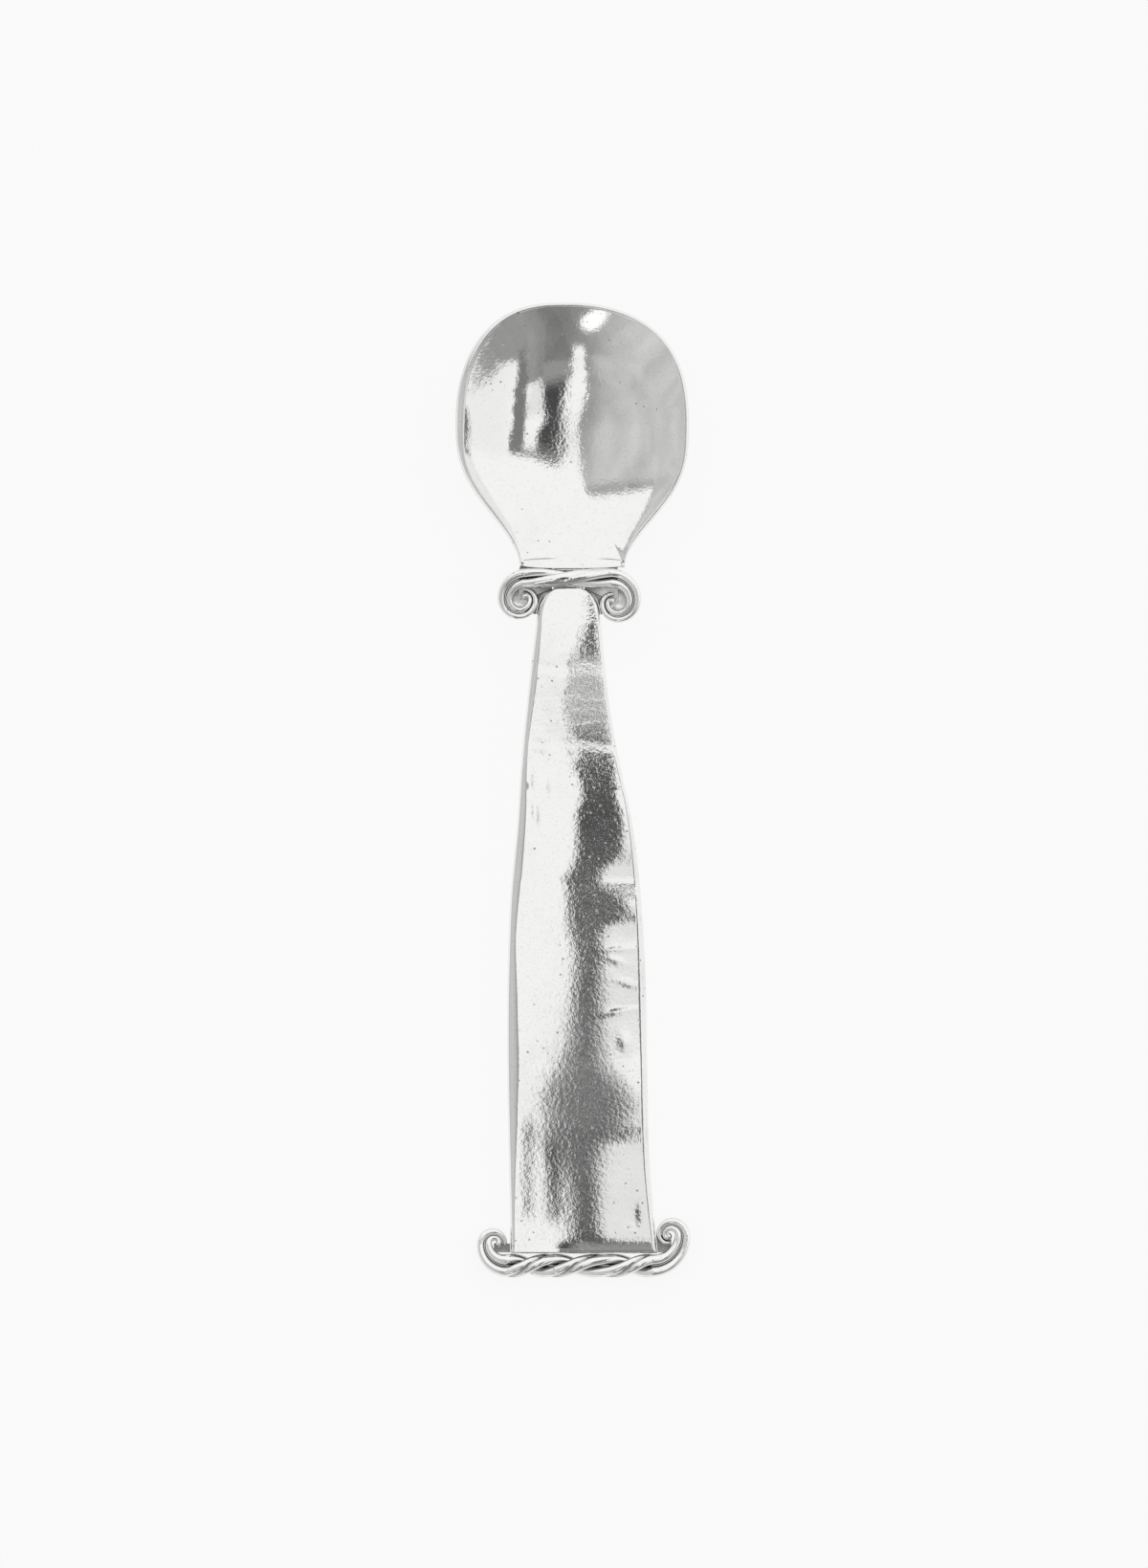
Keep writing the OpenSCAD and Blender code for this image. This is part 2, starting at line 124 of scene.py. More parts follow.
# Share of the widening and of the lean, at shares of the length from the top
WIDENING = ((0, 0), (0.13, 0.22), (0.22, 0.41), (0.32, 0.62), (0.44, 0.81),
            (0.57, 0.9), (0.72, 0.92), (0.86, 0.935), (1, 1))
LEANING = ((0, 0), (0.13, -0.03), (0.22, 0.12), (0.32, 0.41), (0.44, 0.47),
           (0.57, 0.53), (0.72, 0.58), (0.86, 0.71), (1, 1))

# Ropes. The half turns are knots of how far the two wires have turned round each other, from
# the left scroll to the right one: a hand-made rope is twisted unevenly
TIP_WIRE_D = 0.7
WIRE_FLAT = 1.35
WIRE_CLEAR = 0.05
NECK_WIRE_D = 1.5
NECK_HALF_TURNS = ((0, 0), (0.5, 0.5), (1, 1))
NECK_LEFT_TURNS = 3.2 * np.array([1, 0.672, 0.641, 0.39])
NECK_RIGHT_TURNS = 3.4 * np.array([1, 0.721, 0.574, 0.324])
NECK_LEFT_ROOM = 0.35
NECK_RIGHT_ROOM = 0.25
FOOT_WIRE_D = 1.8
FOOT_HALF_TURNS = ((0, 0), (0.3, 1), (0.55, 1.75), (0.75, 2.2), (1, 3))
FOOT_LEFT_TURNS = 3.3 * np.array([1, 0.44, 0.41])
FOOT_RIGHT_TURNS = 4.6 * np.array([1, 0.37, 0.326, 0.216])
FOOT_LEFT_ROOM = 0.5
FOOT_RIGHT_ROOM = 0.1
# Steps in a quarter turn of a scroll, rows along the straight rope, points round a wire, and
# rings that round a wire's tip
TURN_STEPS = 26
ROPE_ROWS = 121
WIRE_SIDES = 40
TIP_RINGS = 6

# Solder
SOLDER_FILM = 0.1
BEAD_W = 1.5
BEAD_H = 0.5
BEAD_END_SHARE = 0.6
BEAD_LAP = 0.08
# The bead's height as a share of the height it may take, its fall in step with the share across
# and with its cube, and its unevenness as waves of height, rate and start
BEAD_FULL = 0.85
BEAD_FALLS = (0.35, 0.65)
BEAD_WAVES = ((0.06, 5.1, 0.4), (0.04, 11.7, 1.3))
# How dark the painted shade along the bead's far edge is, the angle over the bead at which it begins and its
# run, and the place along the bead of its middle, which has none, with the half length and the run of its
# ends
BEAD_SEAM_SHADE = 0.9
BEAD_EDGE = 2.3
BEAD_EDGE_RUN = 0.4
BEAD_MIDDLE = 0.1
BEAD_BRIGHT = 0.35
BEAD_BRIGHT_RUN = 0.3
BEAD_ROWS = 90
BEAD_SIDES = 24
# The webs: thickness, how far their tops dip, the least painted shade on them, and their shapes
NECK_WEB_THICK = 1.1
NECK_WEB_DIP = 0.5
NECK_WEB_SHADE = 0.0
FOOT_WEB_THICK = 0.45
FOOT_WEB_DIP = 0.1
FOOT_WEB_SHADE = 1.0
WEB_REACH = 0.8
WEB_ARC = np.radians(np.arange(90, 251, 20))
WEB_SHOULDER_STEPS = 6
WEB_SIDE_SHARE = 0.9
WEB_UNDER_RINGS = 8
WEB_TOP_RINGS = 12
# Where the painted shade on a web begins on the way from its centre to its edge, and over which run
WEB_SHADE_FROM = 0.3
WEB_SHADE_RUN = 0.6
# The neck webs' centres, outwards and towards the bowl from the scrolls' middles
NECK_WEB_CENTRE = (0.2, -0.4)
NECK_WEB_POINTS = 120
FOOT_WEB_POINTS = 80

# Places that follow from the sizes
NECK_ROPE_R = NECK_WIRE_D + WIRE_CLEAR / 2
FOOT_ROPE_R = FOOT_WIRE_D + WIRE_CLEAR / 2
FOOT_ROPE_Y = FOOT_ROPE_R
FOOT_Y = FOOT_ROPE_Y + FOOT_ROPE_R + SOLDER_FILM
SHOULDER_Y = FOOT_Y + HANDLE_LEN
SHOULDER_START_Y = SHOULDER_Y - SHOULDER_LEN
NECK_ROPE_Y = SHOULDER_Y + SOLDER_FILM + NECK_ROPE_R
BOWL_Y = NECK_ROPE_Y + NECK_ROPE_R + SOLDER_FILM
BELLY_Y = BOWL_Y + BOWL_BELLY
TIP_Y = BOWL_Y + BOWL_LEN
RIM_Z = BOWL_WALL + BOWL_DEPTH
NECK_RIM_Z = RIM_Z - BOWL_NECK_DIP
TANG_TOP_Z = NECK_RIM_Z - RIM_OUTER_DROP - SOLDER_FILM
NECK_BACK_Z = TANG_TOP_Z - TANG_THICK
NECK_ROPE_Z = TANG_TOP_Z + SOLDER_FILM + NECK_ROPE_R
FOOT_ROPE_Z = FOOT_ROPE_R
NECK_WEB_Z = TANG_TOP_Z - SOLDER_FILM
FOOT_WEB_Z = SOLDER_FILM + FOOT_WEB_THICK
TIP_SEAT = WIRE_FLAT * TIP_WIRE_D / 2 + SOLDER_FILM
NECK_SCROLL_SINK = NECK_ROPE_Z - NECK_WEB_Z - TIP_SEAT
FOOT_SCROLL_SINK = FOOT_ROPE_Z - FOOT_WEB_Z - TIP_SEAT


def smooth(s):
    """0 to 1 with level ends: 3 s squared less 2 s cubed, held outside 0 to 1."""
    s = np.clip(s, 0, 1)
    return s * s * (3 - 2 * s)


def through(knots, t):
    """A smooth curve through knots of (place, value): cubic pieces whose slope at a knot is
    that of the line between its two neighbours."""
    place, value = np.array(knots, float).T
    low = np.maximum(np.arange(len(place)) - 1, 0)
    high = np.minimum(np.arange(len(place)) + 1, len(place) - 1)
    slope = (value[high] - value[low]) / (place[high] - place[low])
    i = np.clip(np.searchsorted(place, t, side="right") - 1, 0, len(place) - 2)
    h = place[i + 1] - place[i]
    u = (t - place[i]) / h
    return ((2 * u ** 3 - 3 * u ** 2 + 1) * value[i] + (u ** 3 - 2 * u ** 2 + u) * h * slope[i]
            + (3 * u ** 2 - 2 * u ** 3) * value[i + 1] + (u ** 3 - u ** 2) * h * slope[i + 1])


def dents(x, y, marks):
    """Sum of round or oval marks (x, y, reach across, reach along, height, tilt): each is its
    height times exp(-(offset over reach) squared), and its long axis rises by the tilt."""
    total = np.zeros(np.broadcast(x, y).shape)
    for mx, my, rx, ry, height, tilt in marks:
        rise = y - my - tilt * (x - mx)
        total = total + height * np.exp(-((x - mx) / rx) ** 2 - (rise / ry) ** 2)
    return total


def crowded(n):
    """n shares from 0 up to but not including 1, crowded at both ends like a cosine."""
    return (1 - np.cos(np.pi * np.arange(n) / n)) / 2


def softened(rings, passes):
    """Rounds a closed section's corners: each point takes half of itself and a quarter of each
    neighbour around the ring, some passes over."""
    for _ in range(passes):
        rings = rings / 2 + (np.roll(rings, 1, 1) + np.roll(rings, -1, 1)) / 4
    return rings


def bowl_outline():
    """The bowl seen from above, as rows of x, y and a share that rises from 0 at the belly to 1
    at the neck: a squared oval above the belly, two flanks that narrow as half a cosine wave,
    and the straight neck end. The oval leans to the left near its tip."""
    a = np.pi * np.arange(ARC_STEPS) / ARC_STEPS
    up = np.abs(np.sin(a)) ** (2 / OUTLINE_POWER)
    wide = np.sign(np.cos(a)) * np.abs(np.cos(a)) ** (2 / OUTLINE_POWER)
    arc = np.stack([BOWL_SHIFT + wide * BOWL_W / 2 - BOWL_TIP_LEAN * up ** LEAN_POWER,
                    BELLY_Y + up * (BOWL_LEN - BOWL_BELLY), 0 * a], 1)
    s = np.arange(FLANK_STEPS) / FLANK_STEPS

    def flank(side, s):
        """One side below the belly, at shares s of the way to the neck end."""
        half = (BOWL_NECK_W + (BOWL_W - BOWL_NECK_W)
                * (1 + np.cos(np.pi * s ** FLANK_POWERS[side])) / 2) / 2
        return np.stack([BOWL_SHIFT + side * half, BELLY_Y - s * BOWL_BELLY, s], 1)

    e = np.arange(NECK_END_STEPS) / NECK_END_STEPS
    end = np.stack([BOWL_SHIFT + (e - 0.5) * BOWL_NECK_W, BOWL_Y + 0 * e, 1 + 0 * e], 1)
    return np.concatenate([arc, flank(-1, s), end, flank(1, 1 - s)])


OUTLINE = bowl_outline()
BOWL_D = OUTLINE[:, :2] - (BOWL_SHIFT, BELLY_Y)
BOWL_REACH = np.hypot(BOWL_D[:, 0], BOWL_D[:, 1])
BOWL_HALF_LEN = np.where(BOWL_D[:, 1] < 0, BOWL_BELLY, BOWL_LEN - BOWL_BELLY)
BOWL_OVAL = BOWL_REACH / np.hypot(2 * BOWL_D[:, 0] / BOWL_W, BOWL_D[:, 1] / BOWL_HALF_LEN)
BOWL_RIM = RIM_Z - BOWL_NECK_DIP * smooth(OUTLINE[:, 2])
LIP_TURN = np.degrees(np.arctan2(BOWL_D[:, 1], -BOWL_D[:, 0])) - LIP_SWELL_AT
LIP = LIP_W + LIP_SWELL * np.exp(-(LIP_TURN / LIP_SWELL_REACH) ** 2)


def bowl_rings(rho, inset, low, drop):
    """Rings of the dish at shares rho of its reach: ovals about the lowest point, which take on
    the outline's own shape, drawn in by an inset, towards the rim. The height rises from low
    to the rim less drop as rho to the dish's power."""
    rho = np.reshape(rho, (-1, 1))
    reach = BOWL_OVAL + (BOWL_REACH - BOWL_OVAL) * rho ** OVAL_POWER - inset
    k = rho * reach / BOWL_REACH
    x = BOWL_SHIFT + BOWL_LOW_SHIFT * (1 - rho) + k * BOWL_D[:, 0]
    y = BELLY_Y + BOWL_LOW_RISE * (1 - rho) + k * BOWL_D[:, 1]
    z = low + (BOWL_RIM - drop - low) * rho ** DISH_POWER
    return np.stack([x, y, z], 2)


# Hand-made unevenness inside the bowl: x, y, reach across, reach along, height, tilt
BOWL_MARKS = (
    (6.0, 128.5, 2.6, 3.2, 0.05, 0),
    (-9.0, 139.0, 3.5, 2.5, 0.05, 0),
    (2.0, 141.0, 2.5, 3.0, -0.06, 0),
)


def bowl_shape():
    """The bowl as closed rings: inside from the lowest point to the lip, over the lip as half
    an ellipse, and down the outside. The last result is painted shade at each point: dark lines
    along the lip's two edges, and a darker outside."""
    rho = np.arange(1, INSIDE_RINGS + 1) / INSIDE_RINGS
    inside = bowl_rings(rho, LIP, BOWL_WALL, RIM_INNER_DROP)
    inside[:, :, 2] += dents(inside[:, :, 0], inside[:, :, 1], BOWL_MARKS)
    q = np.pi * np.arange(1, LIP_STEPS).reshape(-1, 1) / LIP_STEPS
    inset = LIP * (1 + np.cos(q)) / 2
    reach = (BOWL_REACH - inset) / BOWL_REACH
    base = BOWL_RIM - RIM_INNER_DROP - (RIM_OUTER_DROP - RIM_INNER_DROP) * (1 - np.cos(q)) / 2
    lip = np.stack([BOWL_SHIFT + reach * BOWL_D[:, 0], BELLY_Y + reach * BOWL_D[:, 1],
                    base + np.sin(q) * (LIP_H + LIP_H_SHARE * LIP)], 2)
    outside = bowl_rings(np.arange(OUTSIDE_RINGS, 0, -1) / OUTSIDE_RINGS, 0, 0, RIM_OUTER_DROP)
    rings = np.concatenate([inside, lip, outside])
    middle = (BOWL_SHIFT + BOWL_LOW_SHIFT, BELLY_Y + BOWL_LOW_RISE)
    painted_shade = np.zeros(rings.shape[:2])
    # Painted shade: dark lines on the lip's inner and outer edges, and the whole outside darker
    edges = smooth((q - OUTER_EDGE[0]) / OUTER_EDGE[1]) + smooth((INNER_EDGE[0] - q) / INNER_EDGE[1])
    painted_shade[INSIDE_RINGS:-OUTSIDE_RINGS] = LIP_EDGE_SHADE * edges
    painted_shade[-OUTSIDE_RINGS:] = OUTSIDE_SHADE
    return rings, (*middle, BOWL_WALL), (*middle, 0), painted_shade


def handle_share(y):
    """0 at the start of the shoulders, 1 at the end face."""
    return np.clip((SHOULDER_START_Y - y) / (SHOULDER_START_Y - FOOT_Y), 0, 1)


def handle_edge_x(side, y):
    """Edge of the handle in plan: its middle line leans and its half width grows along smooth
    curves, and the shoulders draw in as quarter ellipses."""
    t = handle_share(y)
    s = np.clip((y - SHOULDER_START_Y) / SHOULDER_LEN, 0, 1)
    half = (HANDLE_TOP_W + (HANDLE_FOOT_W - HANDLE_TOP_W) * through(WIDENING, t)) / 2
    return HANDLE_LEAN * through(LEANING, t) + side * (half - SHOULDER_IN * (1 - np.sqrt(1 - s * s)))


def back_z(y):
    """The flat back rises evenly from the end face to the neck."""
    return NECK_BACK_Z * (y - FOOT_Y) / HANDLE_LEN


# The level band along the front: share of the handle's length from the shoulders, and the x of
# the band's left and right sides there
BAND = ((-0.06, 3.4, 3.7), (0.006, 3.2, 4.0), (0.031, 2.5, 4.4), (0.058, 1.8, 4.6), (0.072, 2.0, 4.2),
        (0.086, 1.9, 4.7), (0.112, 1.3, 5.3), (0.16, 1.0, 5.7), (0.18, 1.3, 5.9), (0.196, 1.7, 5.9),
        (0.211, 2.1, 6.5), (0.226, 1.3, 7.1), (0.256, 2.3, 7.4), (0.279, 2.3, 7.7), (0.301, 1.6, 8.4),
        (0.347, 1.5, 8.6), (0.362, 1.6, 8.2), (0.386, 1.0, 5.7), (0.407, -0.3, 5.1), (0.417, 0.1, 6.0),
        (0.44, 0.2, 9.0), (0.457, 0.3, 8.8), (0.48, 0.4, 5.7), (0.529, 1.5, 5.3), (0.59, 1.2, 5.0),
        (0.658, 0.9, 5.0), (0.696, -0.6, 6.0), (0.745, -3.0, 9.3), (0.795, -2.8, 8.0), (0.828, -1.6, 5.0),
        (0.893, 0.6, 4.5), (0.96, 0.8, 4.6), (1.0, 0.6, 4.8))
# How gradually the front turns at the band's sides, along the handle
BAND_SOFT = ((-0.06, 0.35), (0.3, 0.4), (0.5, 0.8), (0.75, 1.8), (1, 0.8))
# Widths of the bevels along the handle
LEFT_BEVEL = ((0, 0.9), (0.1, 1.2), (0.2, 0.9), (0.3, 1.3), (0.4, 1.5), (0.5, 1.2), (0.6, 1.7),
              (0.7, 1.9), (0.8, 1.5), (0.9, 0.9), (1, 0.6))
RIGHT_BEVEL = ((0, 0.7), (0.2, 0.7), (0.28, 0.6), (0.35, 0.8), (0.5, 1.3), (0.6, 1.6), (0.7, 1.3),
               (0.8, 1.3), (0.93, 1.0), (1, 0.7))
# Low steps across the front, from one hammered facet to the next: y, half width, drop to the
# bowl. Each step's line sways from side to side by the sway, at a rate per millimetre.
FRONT_STEPS = ((93.7, 1.6, 0.2), (89.4, 0.5, 0.06), (87.6, 0.4, 0.035), (85.6, 0.4, 0.055),
               (84.2, 0.35, 0.04), (81.9, 1.8, 0.24), (75.6, 0.9, 0.04))
STEP_SWAY = 0.2
STEP_SWAY_RATE = 0.8
# Where the front begins to fall to the neck, how steeply and how gradually
TOP_FALL_Y = 100.5
TOP_FALL = 0.075
TOP_FALL_SOFT = 0.12
# The front's fall to the end face: how far from the end it begins, how steeply it falls, the
# narrow steep edge at the very end, and the width of the bevel before it at the left and right.
# The fall grows from a first x on, and the bevel widens to the left of another, over a run.
END_FALL_RUN = 2.0
END_FALL = 0.15
END_FALL_SOFT = 0.4
END_FALL_X = -2
END_FALL_X_RUN = 4
END_EDGE = 0.22
END_EDGE_POWER = 1.5
END_BEVEL_SLOPE = 0.28
END_BEVEL_SOFT = 0.04
END_BEVEL_W = (0.95, 0.3)
END_BEVEL_X = 4
END_BEVEL_X_RUN = 12
# Level fingers that run from the band towards the foot, on the left: x of their left and right
# sides, y where they end, and y where they have run into the band. They take a share of the
# left side's fall away, and fade over a run at each end.
FINGERS = ((-7.2, -5.3, 7.0, 22.0), (-3.6, -1.0, 6.4, 20.0))
FINGER_SHARE = 0.55
FINGER_SOFT = 0.4
FINGER_LOW_RUN = 4
FINGER_HIGH_RUN = 5
# Hand-made marks on the front: x, y, reach across, reach along, height, tilt
FRONT_MARKS = (
    (-5.9, 76.5, 0.4, 1.6, 0.012, 0),
    (-3.6, 75.5, 0.4, 1.8, 0.012, 0),
    (-5.1, 71.0, 0.4, 2.6, 0.016, 0),
    (10.0, 9.5, 0.8, 2.0, -0.06, 0),
    (8.0, 50.7, 2.6, 0.4, 0.045, 0.05),
    (7.4, 49.0, 1.4, 0.5, 0.045, -0.4),
    (9.3, 45.4, 1.8, 0.55, 0.045, -0.3),
    (7.8, 41.1, 2.6, 0.45, 0.06, 0.15),
    (8.8, 36.4, 0.9, 1.5, 0.06, -0.3),
)


def hinge(v, soft):
    """0 for negative v and v for positive v, with the corner rounded over about soft."""
    return soft * np.logaddexp(0, v / soft)


def band_sides(y):
    """Share of the handle's length from the shoulders, and the x of the band's two sides there."""
    share = np.clip((SHOULDER_START_Y - y) / (SHOULDER_START_Y - FOOT_Y), BAND[0][0], 1)
    left = through([(t, a) for t, a, _ in BAND], share)
    right = through([(t, b) for t, _, b in BAND], share)
    return share, left, right


def front_z(x, y):
    """Height of the handle's front: the back plus the thickness, less an even roll to the right,
    with a level band that falls away at a set slope on each side, level fingers on the left,
    low wavy steps across, a fall to the neck, and the hand-made marks."""
    share, left, right = band_sides(y)
    soft = through(BAND_SOFT, share)
    fall = LEFT_FALL * hinge(left - x, soft) + RIGHT_FALL * hinge(x - right, soft)
    for a, b, low, high in FINGERS:
        level = smooth((y - low) / FINGER_LOW_RUN) * (1 - smooth((y - high) / FINGER_HIGH_RUN))
        held = hinge(b - x, FINGER_SOFT) - hinge(a - x, FINGER_SOFT)
        fall = fall - FINGER_SHARE * LEFT_FALL * level * held
    fall = fall + TOP_FALL * hinge(y - TOP_FALL_Y, TOP_FALL_SOFT)
    for place, half, drop in FRONT_STEPS:
        past = y - place - STEP_SWAY * np.sin(STEP_SWAY_RATE * x + place)
        fall = fall + drop * smooth((past + half) / (2 * half))
    return back_z(y) + HANDLE_THICK - FRONT_ROLL * (x - ROLL_X) - fall + dents(x, y, FRONT_MARKS)


def end_fall(x, y):
    """How far the front lies below its level near the end face: an even fall on the right, a
    bevel that is broad on the left and narrow on the right, and a steep edge."""
    d = y - FOOT_Y
    left_w, right_w = END_BEVEL_W
    wide = right_w + (left_w - right_w) * smooth((END_BEVEL_X - x) / END_BEVEL_X_RUN)
    fall = END_FALL * hinge(END_FALL_RUN - d, END_FALL_SOFT) * smooth((x - END_FALL_X) / END_FALL_X_RUN)
    fall = fall + END_BEVEL_SLOPE * hinge(END_EDGE + wide - d, END_BEVEL_SOFT)
    total = END_BEVEL_SHARE * BEVEL_DROP
    return fall + (total - fall) * np.clip(1 - d / END_EDGE, 0, 1) ** END_EDGE_POWER


# How coarse the cast grain is along the front, and how dull the polish
GRAIN = ((-0.06, 0.8), (0.05, 0.85), (0.07, 1.6), (0.14, 1.6), (0.17, 0.75), (0.22, 0.7), (0.27, 0.4),
         (0.36, 0.4), (0.45, 0.5), (0.7, 0.45), (1, 0.5))
DULL = ((-0.06, 0.1), (0.03, 0.2), (0.07, 1.0), (0.14, 1.0), (0.2, 0.25), (0.3, 0.1), (0.42, 0.35),
        (0.6, 0.45), (0.75, 0.65), (1, 0.45))
# Left of the band: the share of the grain at the top, and the steps by which it grows along the
# handle, as the share of the length where a step begins, the run and the gain. Right of the band:
# the share that is lost. The grain and the dullness change over a run beside the band.
LEFT_GRAIN = 0.08
LEFT_GRAIN_STEPS = ((0.15, 0.1, 0.07), (0.4, 0.1, 0.2), (0.76, 0.12, 0.15))
RIGHT_GRAIN_LOSS = 0.4
GRAIN_RUN = 2.5
DULL_RUN = 2
# Share of the dullness that stays beside the band
OFF_BAND_DULL = 0.12


def front_marks(points):
    """Coarseness of the grain and dullness of the polish at points of the handle. The grain is
    full on the level band, slight on the smoother left side, three fifths on the right side,
    and coarser again at the left of the lower half. The polish is dullest on the band."""
    x = points[:, :, 0]
    y = points[:, :, 1]
    share, left, right = band_sides(y)
    low = LEFT_GRAIN
    for start, run, gain in LEFT_GRAIN_STEPS:
        low = low + gain * smooth((share - start) / run)
    past = smooth((x - right) / DULL_RUN)
    side = low + (1 - low) * smooth((x - left + GRAIN_RUN) / GRAIN_RUN) - RIGHT_GRAIN_LOSS * past
    band = smooth((x - left + DULL_RUN) / DULL_RUN) * (1 - past)
    dull_and_shade = OFF_BAND_DULL + (1 - OFF_BAND_DULL) * band
    return {"grain": through(GRAIN, share) * side, "dull_and_shade": through(DULL, share) * dull_and_shade}


def handle_section(y, xl, xr, low, left, right, drop, chamfer, front):
    """Closed sections across the bar, one for each y: left side up, left bevel as a quarter
    ellipse, front, right bevel alike, right side down and the flat back."""
    y = np.reshape(y, (-1, 1))
    xl, xr, low = (np.reshape(v, (-1, 1)) for v in (xl, xr, low))
    fl = xl + left
    fr = xr - right
    zl = front(fl, y)
    zr = front(fr, y)
    across = fl + (fr - fl) * crowded(FRONT_POINTS)
    round_up = np.pi / 2 * np.arange(BEVEL_POINTS) / BEVEL_POINTS
    round_down = round_up[1:]
    up = crowded(SIDE_POINTS)
    corner = chamfer * crowded(CHAMFER_POINTS)
    back = crowded(BACK_POINTS)
    x = np.concatenate([xl + chamfer - corner, xl + 0 * up, fl - left * np.cos(round_up), across,
                        fr + right * np.sin(round_down), xr + 0 * up, xr - corner,
                        xr - chamfer + (xl - xr + 2 * chamfer) * back], 1)
    z = np.concatenate([low + corner, low + chamfer + (zl - drop - low - chamfer) * up,
                        zl - drop * (1 - np.sin(round_up)), front(across, y),
                        zr - drop * (1 - np.cos(round_down)), zr - drop + (low + chamfer - zr + drop) * up,
                        low + chamfer - corner, low + 0 * back], 1)
    return np.stack([x, np.broadcast_to(y, x.shape), z], 2)


def bowl_under_z(y):
    """Height of the bowl's underside above its middle line, near the neck."""
    rho = (BELLY_Y + BOWL_LOW_RISE - y) / (BOWL_BELLY + BOWL_LOW_RISE)
    return (NECK_RIM_Z - RIM_OUTER_DROP) * rho ** DISH_POWER


def handle_shape():
    """The handle as closed sections from its end face up to its shoulders, and on along the
    tang that laps under the bowl."""
    e = np.arange(END_ROWS) / END_ROWS
    b = np.arange(BODY_ROWS) / BODY_ROWS
    s = np.sin(np.pi / 2 * np.arange(SHOULDER_ROWS) / (SHOULDER_ROWS - 1))
    body_y = FOOT_Y + FOOT_BEVEL
    y = np.concatenate([FOOT_Y + FOOT_BEVEL * e, body_y + (SHOULDER_START_Y - body_y) * b,
                        SHOULDER_START_Y + SHOULDER_LEN * s])
    end = END_BEVEL_SHARE * BEVEL_DROP * np.maximum(0, 1 - (y - FOOT_Y) / FOOT_BEVEL).reshape(-1, 1)
    xl = handle_edge_x(-1, y)
    xr = handle_edge_x(1, y)
    left = np.reshape(through(LEFT_BEVEL, handle_share(y)), (-1, 1))
    right = np.reshape(through(RIGHT_BEVEL, handle_share(y)), (-1, 1))
    bar = handle_section(y, xl, xr, back_z(y), left, right, BEVEL_DROP - end, BACK_CHAMFER,
                         lambda x, y: front_z(x, y) - end_fall(x, y))
    bar = softened(bar, SOFTEN_PASSES)
    ty = np.concatenate([[SHOULDER_Y + STEP_RUN], np.linspace(BOWL_Y, BOWL_Y + TANG_LAP, LAP_ROWS)])
    lap = np.clip((ty - BOWL_Y) / TANG_LAP, 0, 1)
    top = np.where(lap > 0, bowl_under_z(ty) - SOLDER_FILM, TANG_TOP_Z)
    thick = TANG_THICK + (TANG_END_THICK - TANG_THICK) * smooth(lap)
    tang = handle_section(ty, 0 * ty - TANG_W / 2, 0 * ty + TANG_W / 2, top - thick, TANG_BEVEL,
                          TANG_BEVEL, TANG_BEVEL, TANG_BEVEL, lambda x, y: np.reshape(top, (-1, 1)) + 0 * x)
    rings = np.concatenate([bar, tang])
    return rings, rings[0].mean(0), rings[-1].mean(0)


def scroll(turns, steps):
    """A scroll in its own plane, built from quarter turns: rows of forward, rise, heading, run."""
    rows = []
    at = np.zeros(2)
    run = 0
    for i, r in enumerate(turns):
        h = np.pi / 2 * i
        a = np.pi / 2 * np.arange(1, steps + 1) / steps
        move = r * np.stack([np.sin(h + a) - np.sin(h), np.cos(h) - np.cos(h + a)], 1)
        rows.append(np.column_stack([at + move, h + a, run + r * a]))
        at = at + move[-1]
        run += r * np.pi / 2
    return np.concatenate(rows)


def thinned(wire_d, share):
    """Radius of a wire at a share of its scroll's run: it thins evenly towards the tip."""
    return (wire_d + (TIP_WIRE_D - wire_d) * share) / 2


def rope_r(wire_d, turns, i):
    """Radius of the whole rope after some of a scroll's quarter turns."""
    return 2 * thinned(wire_d, np.sum(turns[:i]) / np.sum(turns)) + WIRE_CLEAR / 2


def scroll_x(side, wire_d, turns, y, room):
    """Where a scroll begins, so that its inner side clears the handle's edge by the room."""
    return float(handle_edge_x(side, np.array(y))
                 + side * (room + rope_r(wire_d, turns, 3) - turns[0] + turns[1] + turns[2]))


def neck_scroll_x(side, turns, room):
    """Start of a neck scroll, whose inner side is nearest the handle at the height that its
    three quarter turns reach: down by the first two, and up again by the third."""
    return scroll_x(side, NECK_WIRE_D, turns, NECK_ROPE_Y - turns[0] - turns[1] + turns[2], room)


def foot_scroll_x(side, turns, room):
    """Start of a foot scroll: as at the neck, but it curls up the spoon."""
    return scroll_x(side, FOOT_WIRE_D, turns, FOOT_ROPE_Y + turns[0] + turns[1] - turns[2], room)


NECK_LEFT_X = neck_scroll_x(-1, NECK_LEFT_TURNS, NECK_LEFT_ROOM)
NECK_RIGHT_X = neck_scroll_x(1, NECK_RIGHT_TURNS, NECK_RIGHT_ROOM)
FOOT_LEFT_X = foot_scroll_x(-1, FOOT_LEFT_TURNS, FOOT_LEFT_ROOM)
FOOT_RIGHT_X = foot_scroll_x(1, FOOT_RIGHT_TURNS, FOOT_RIGHT_ROOM)
FOOT_RIGHT_REACH = FOOT_RIGHT_X + FOOT_RIGHT_TURNS[0] + rope_r(FOOT_WIRE_D, FOOT_RIGHT_TURNS, 1)
MIDDLE = np.array([(BOWL_SHIFT - BOWL_W / 2 + FOOT_RIGHT_REACH) / 2, TIP_Y / 2, 0])


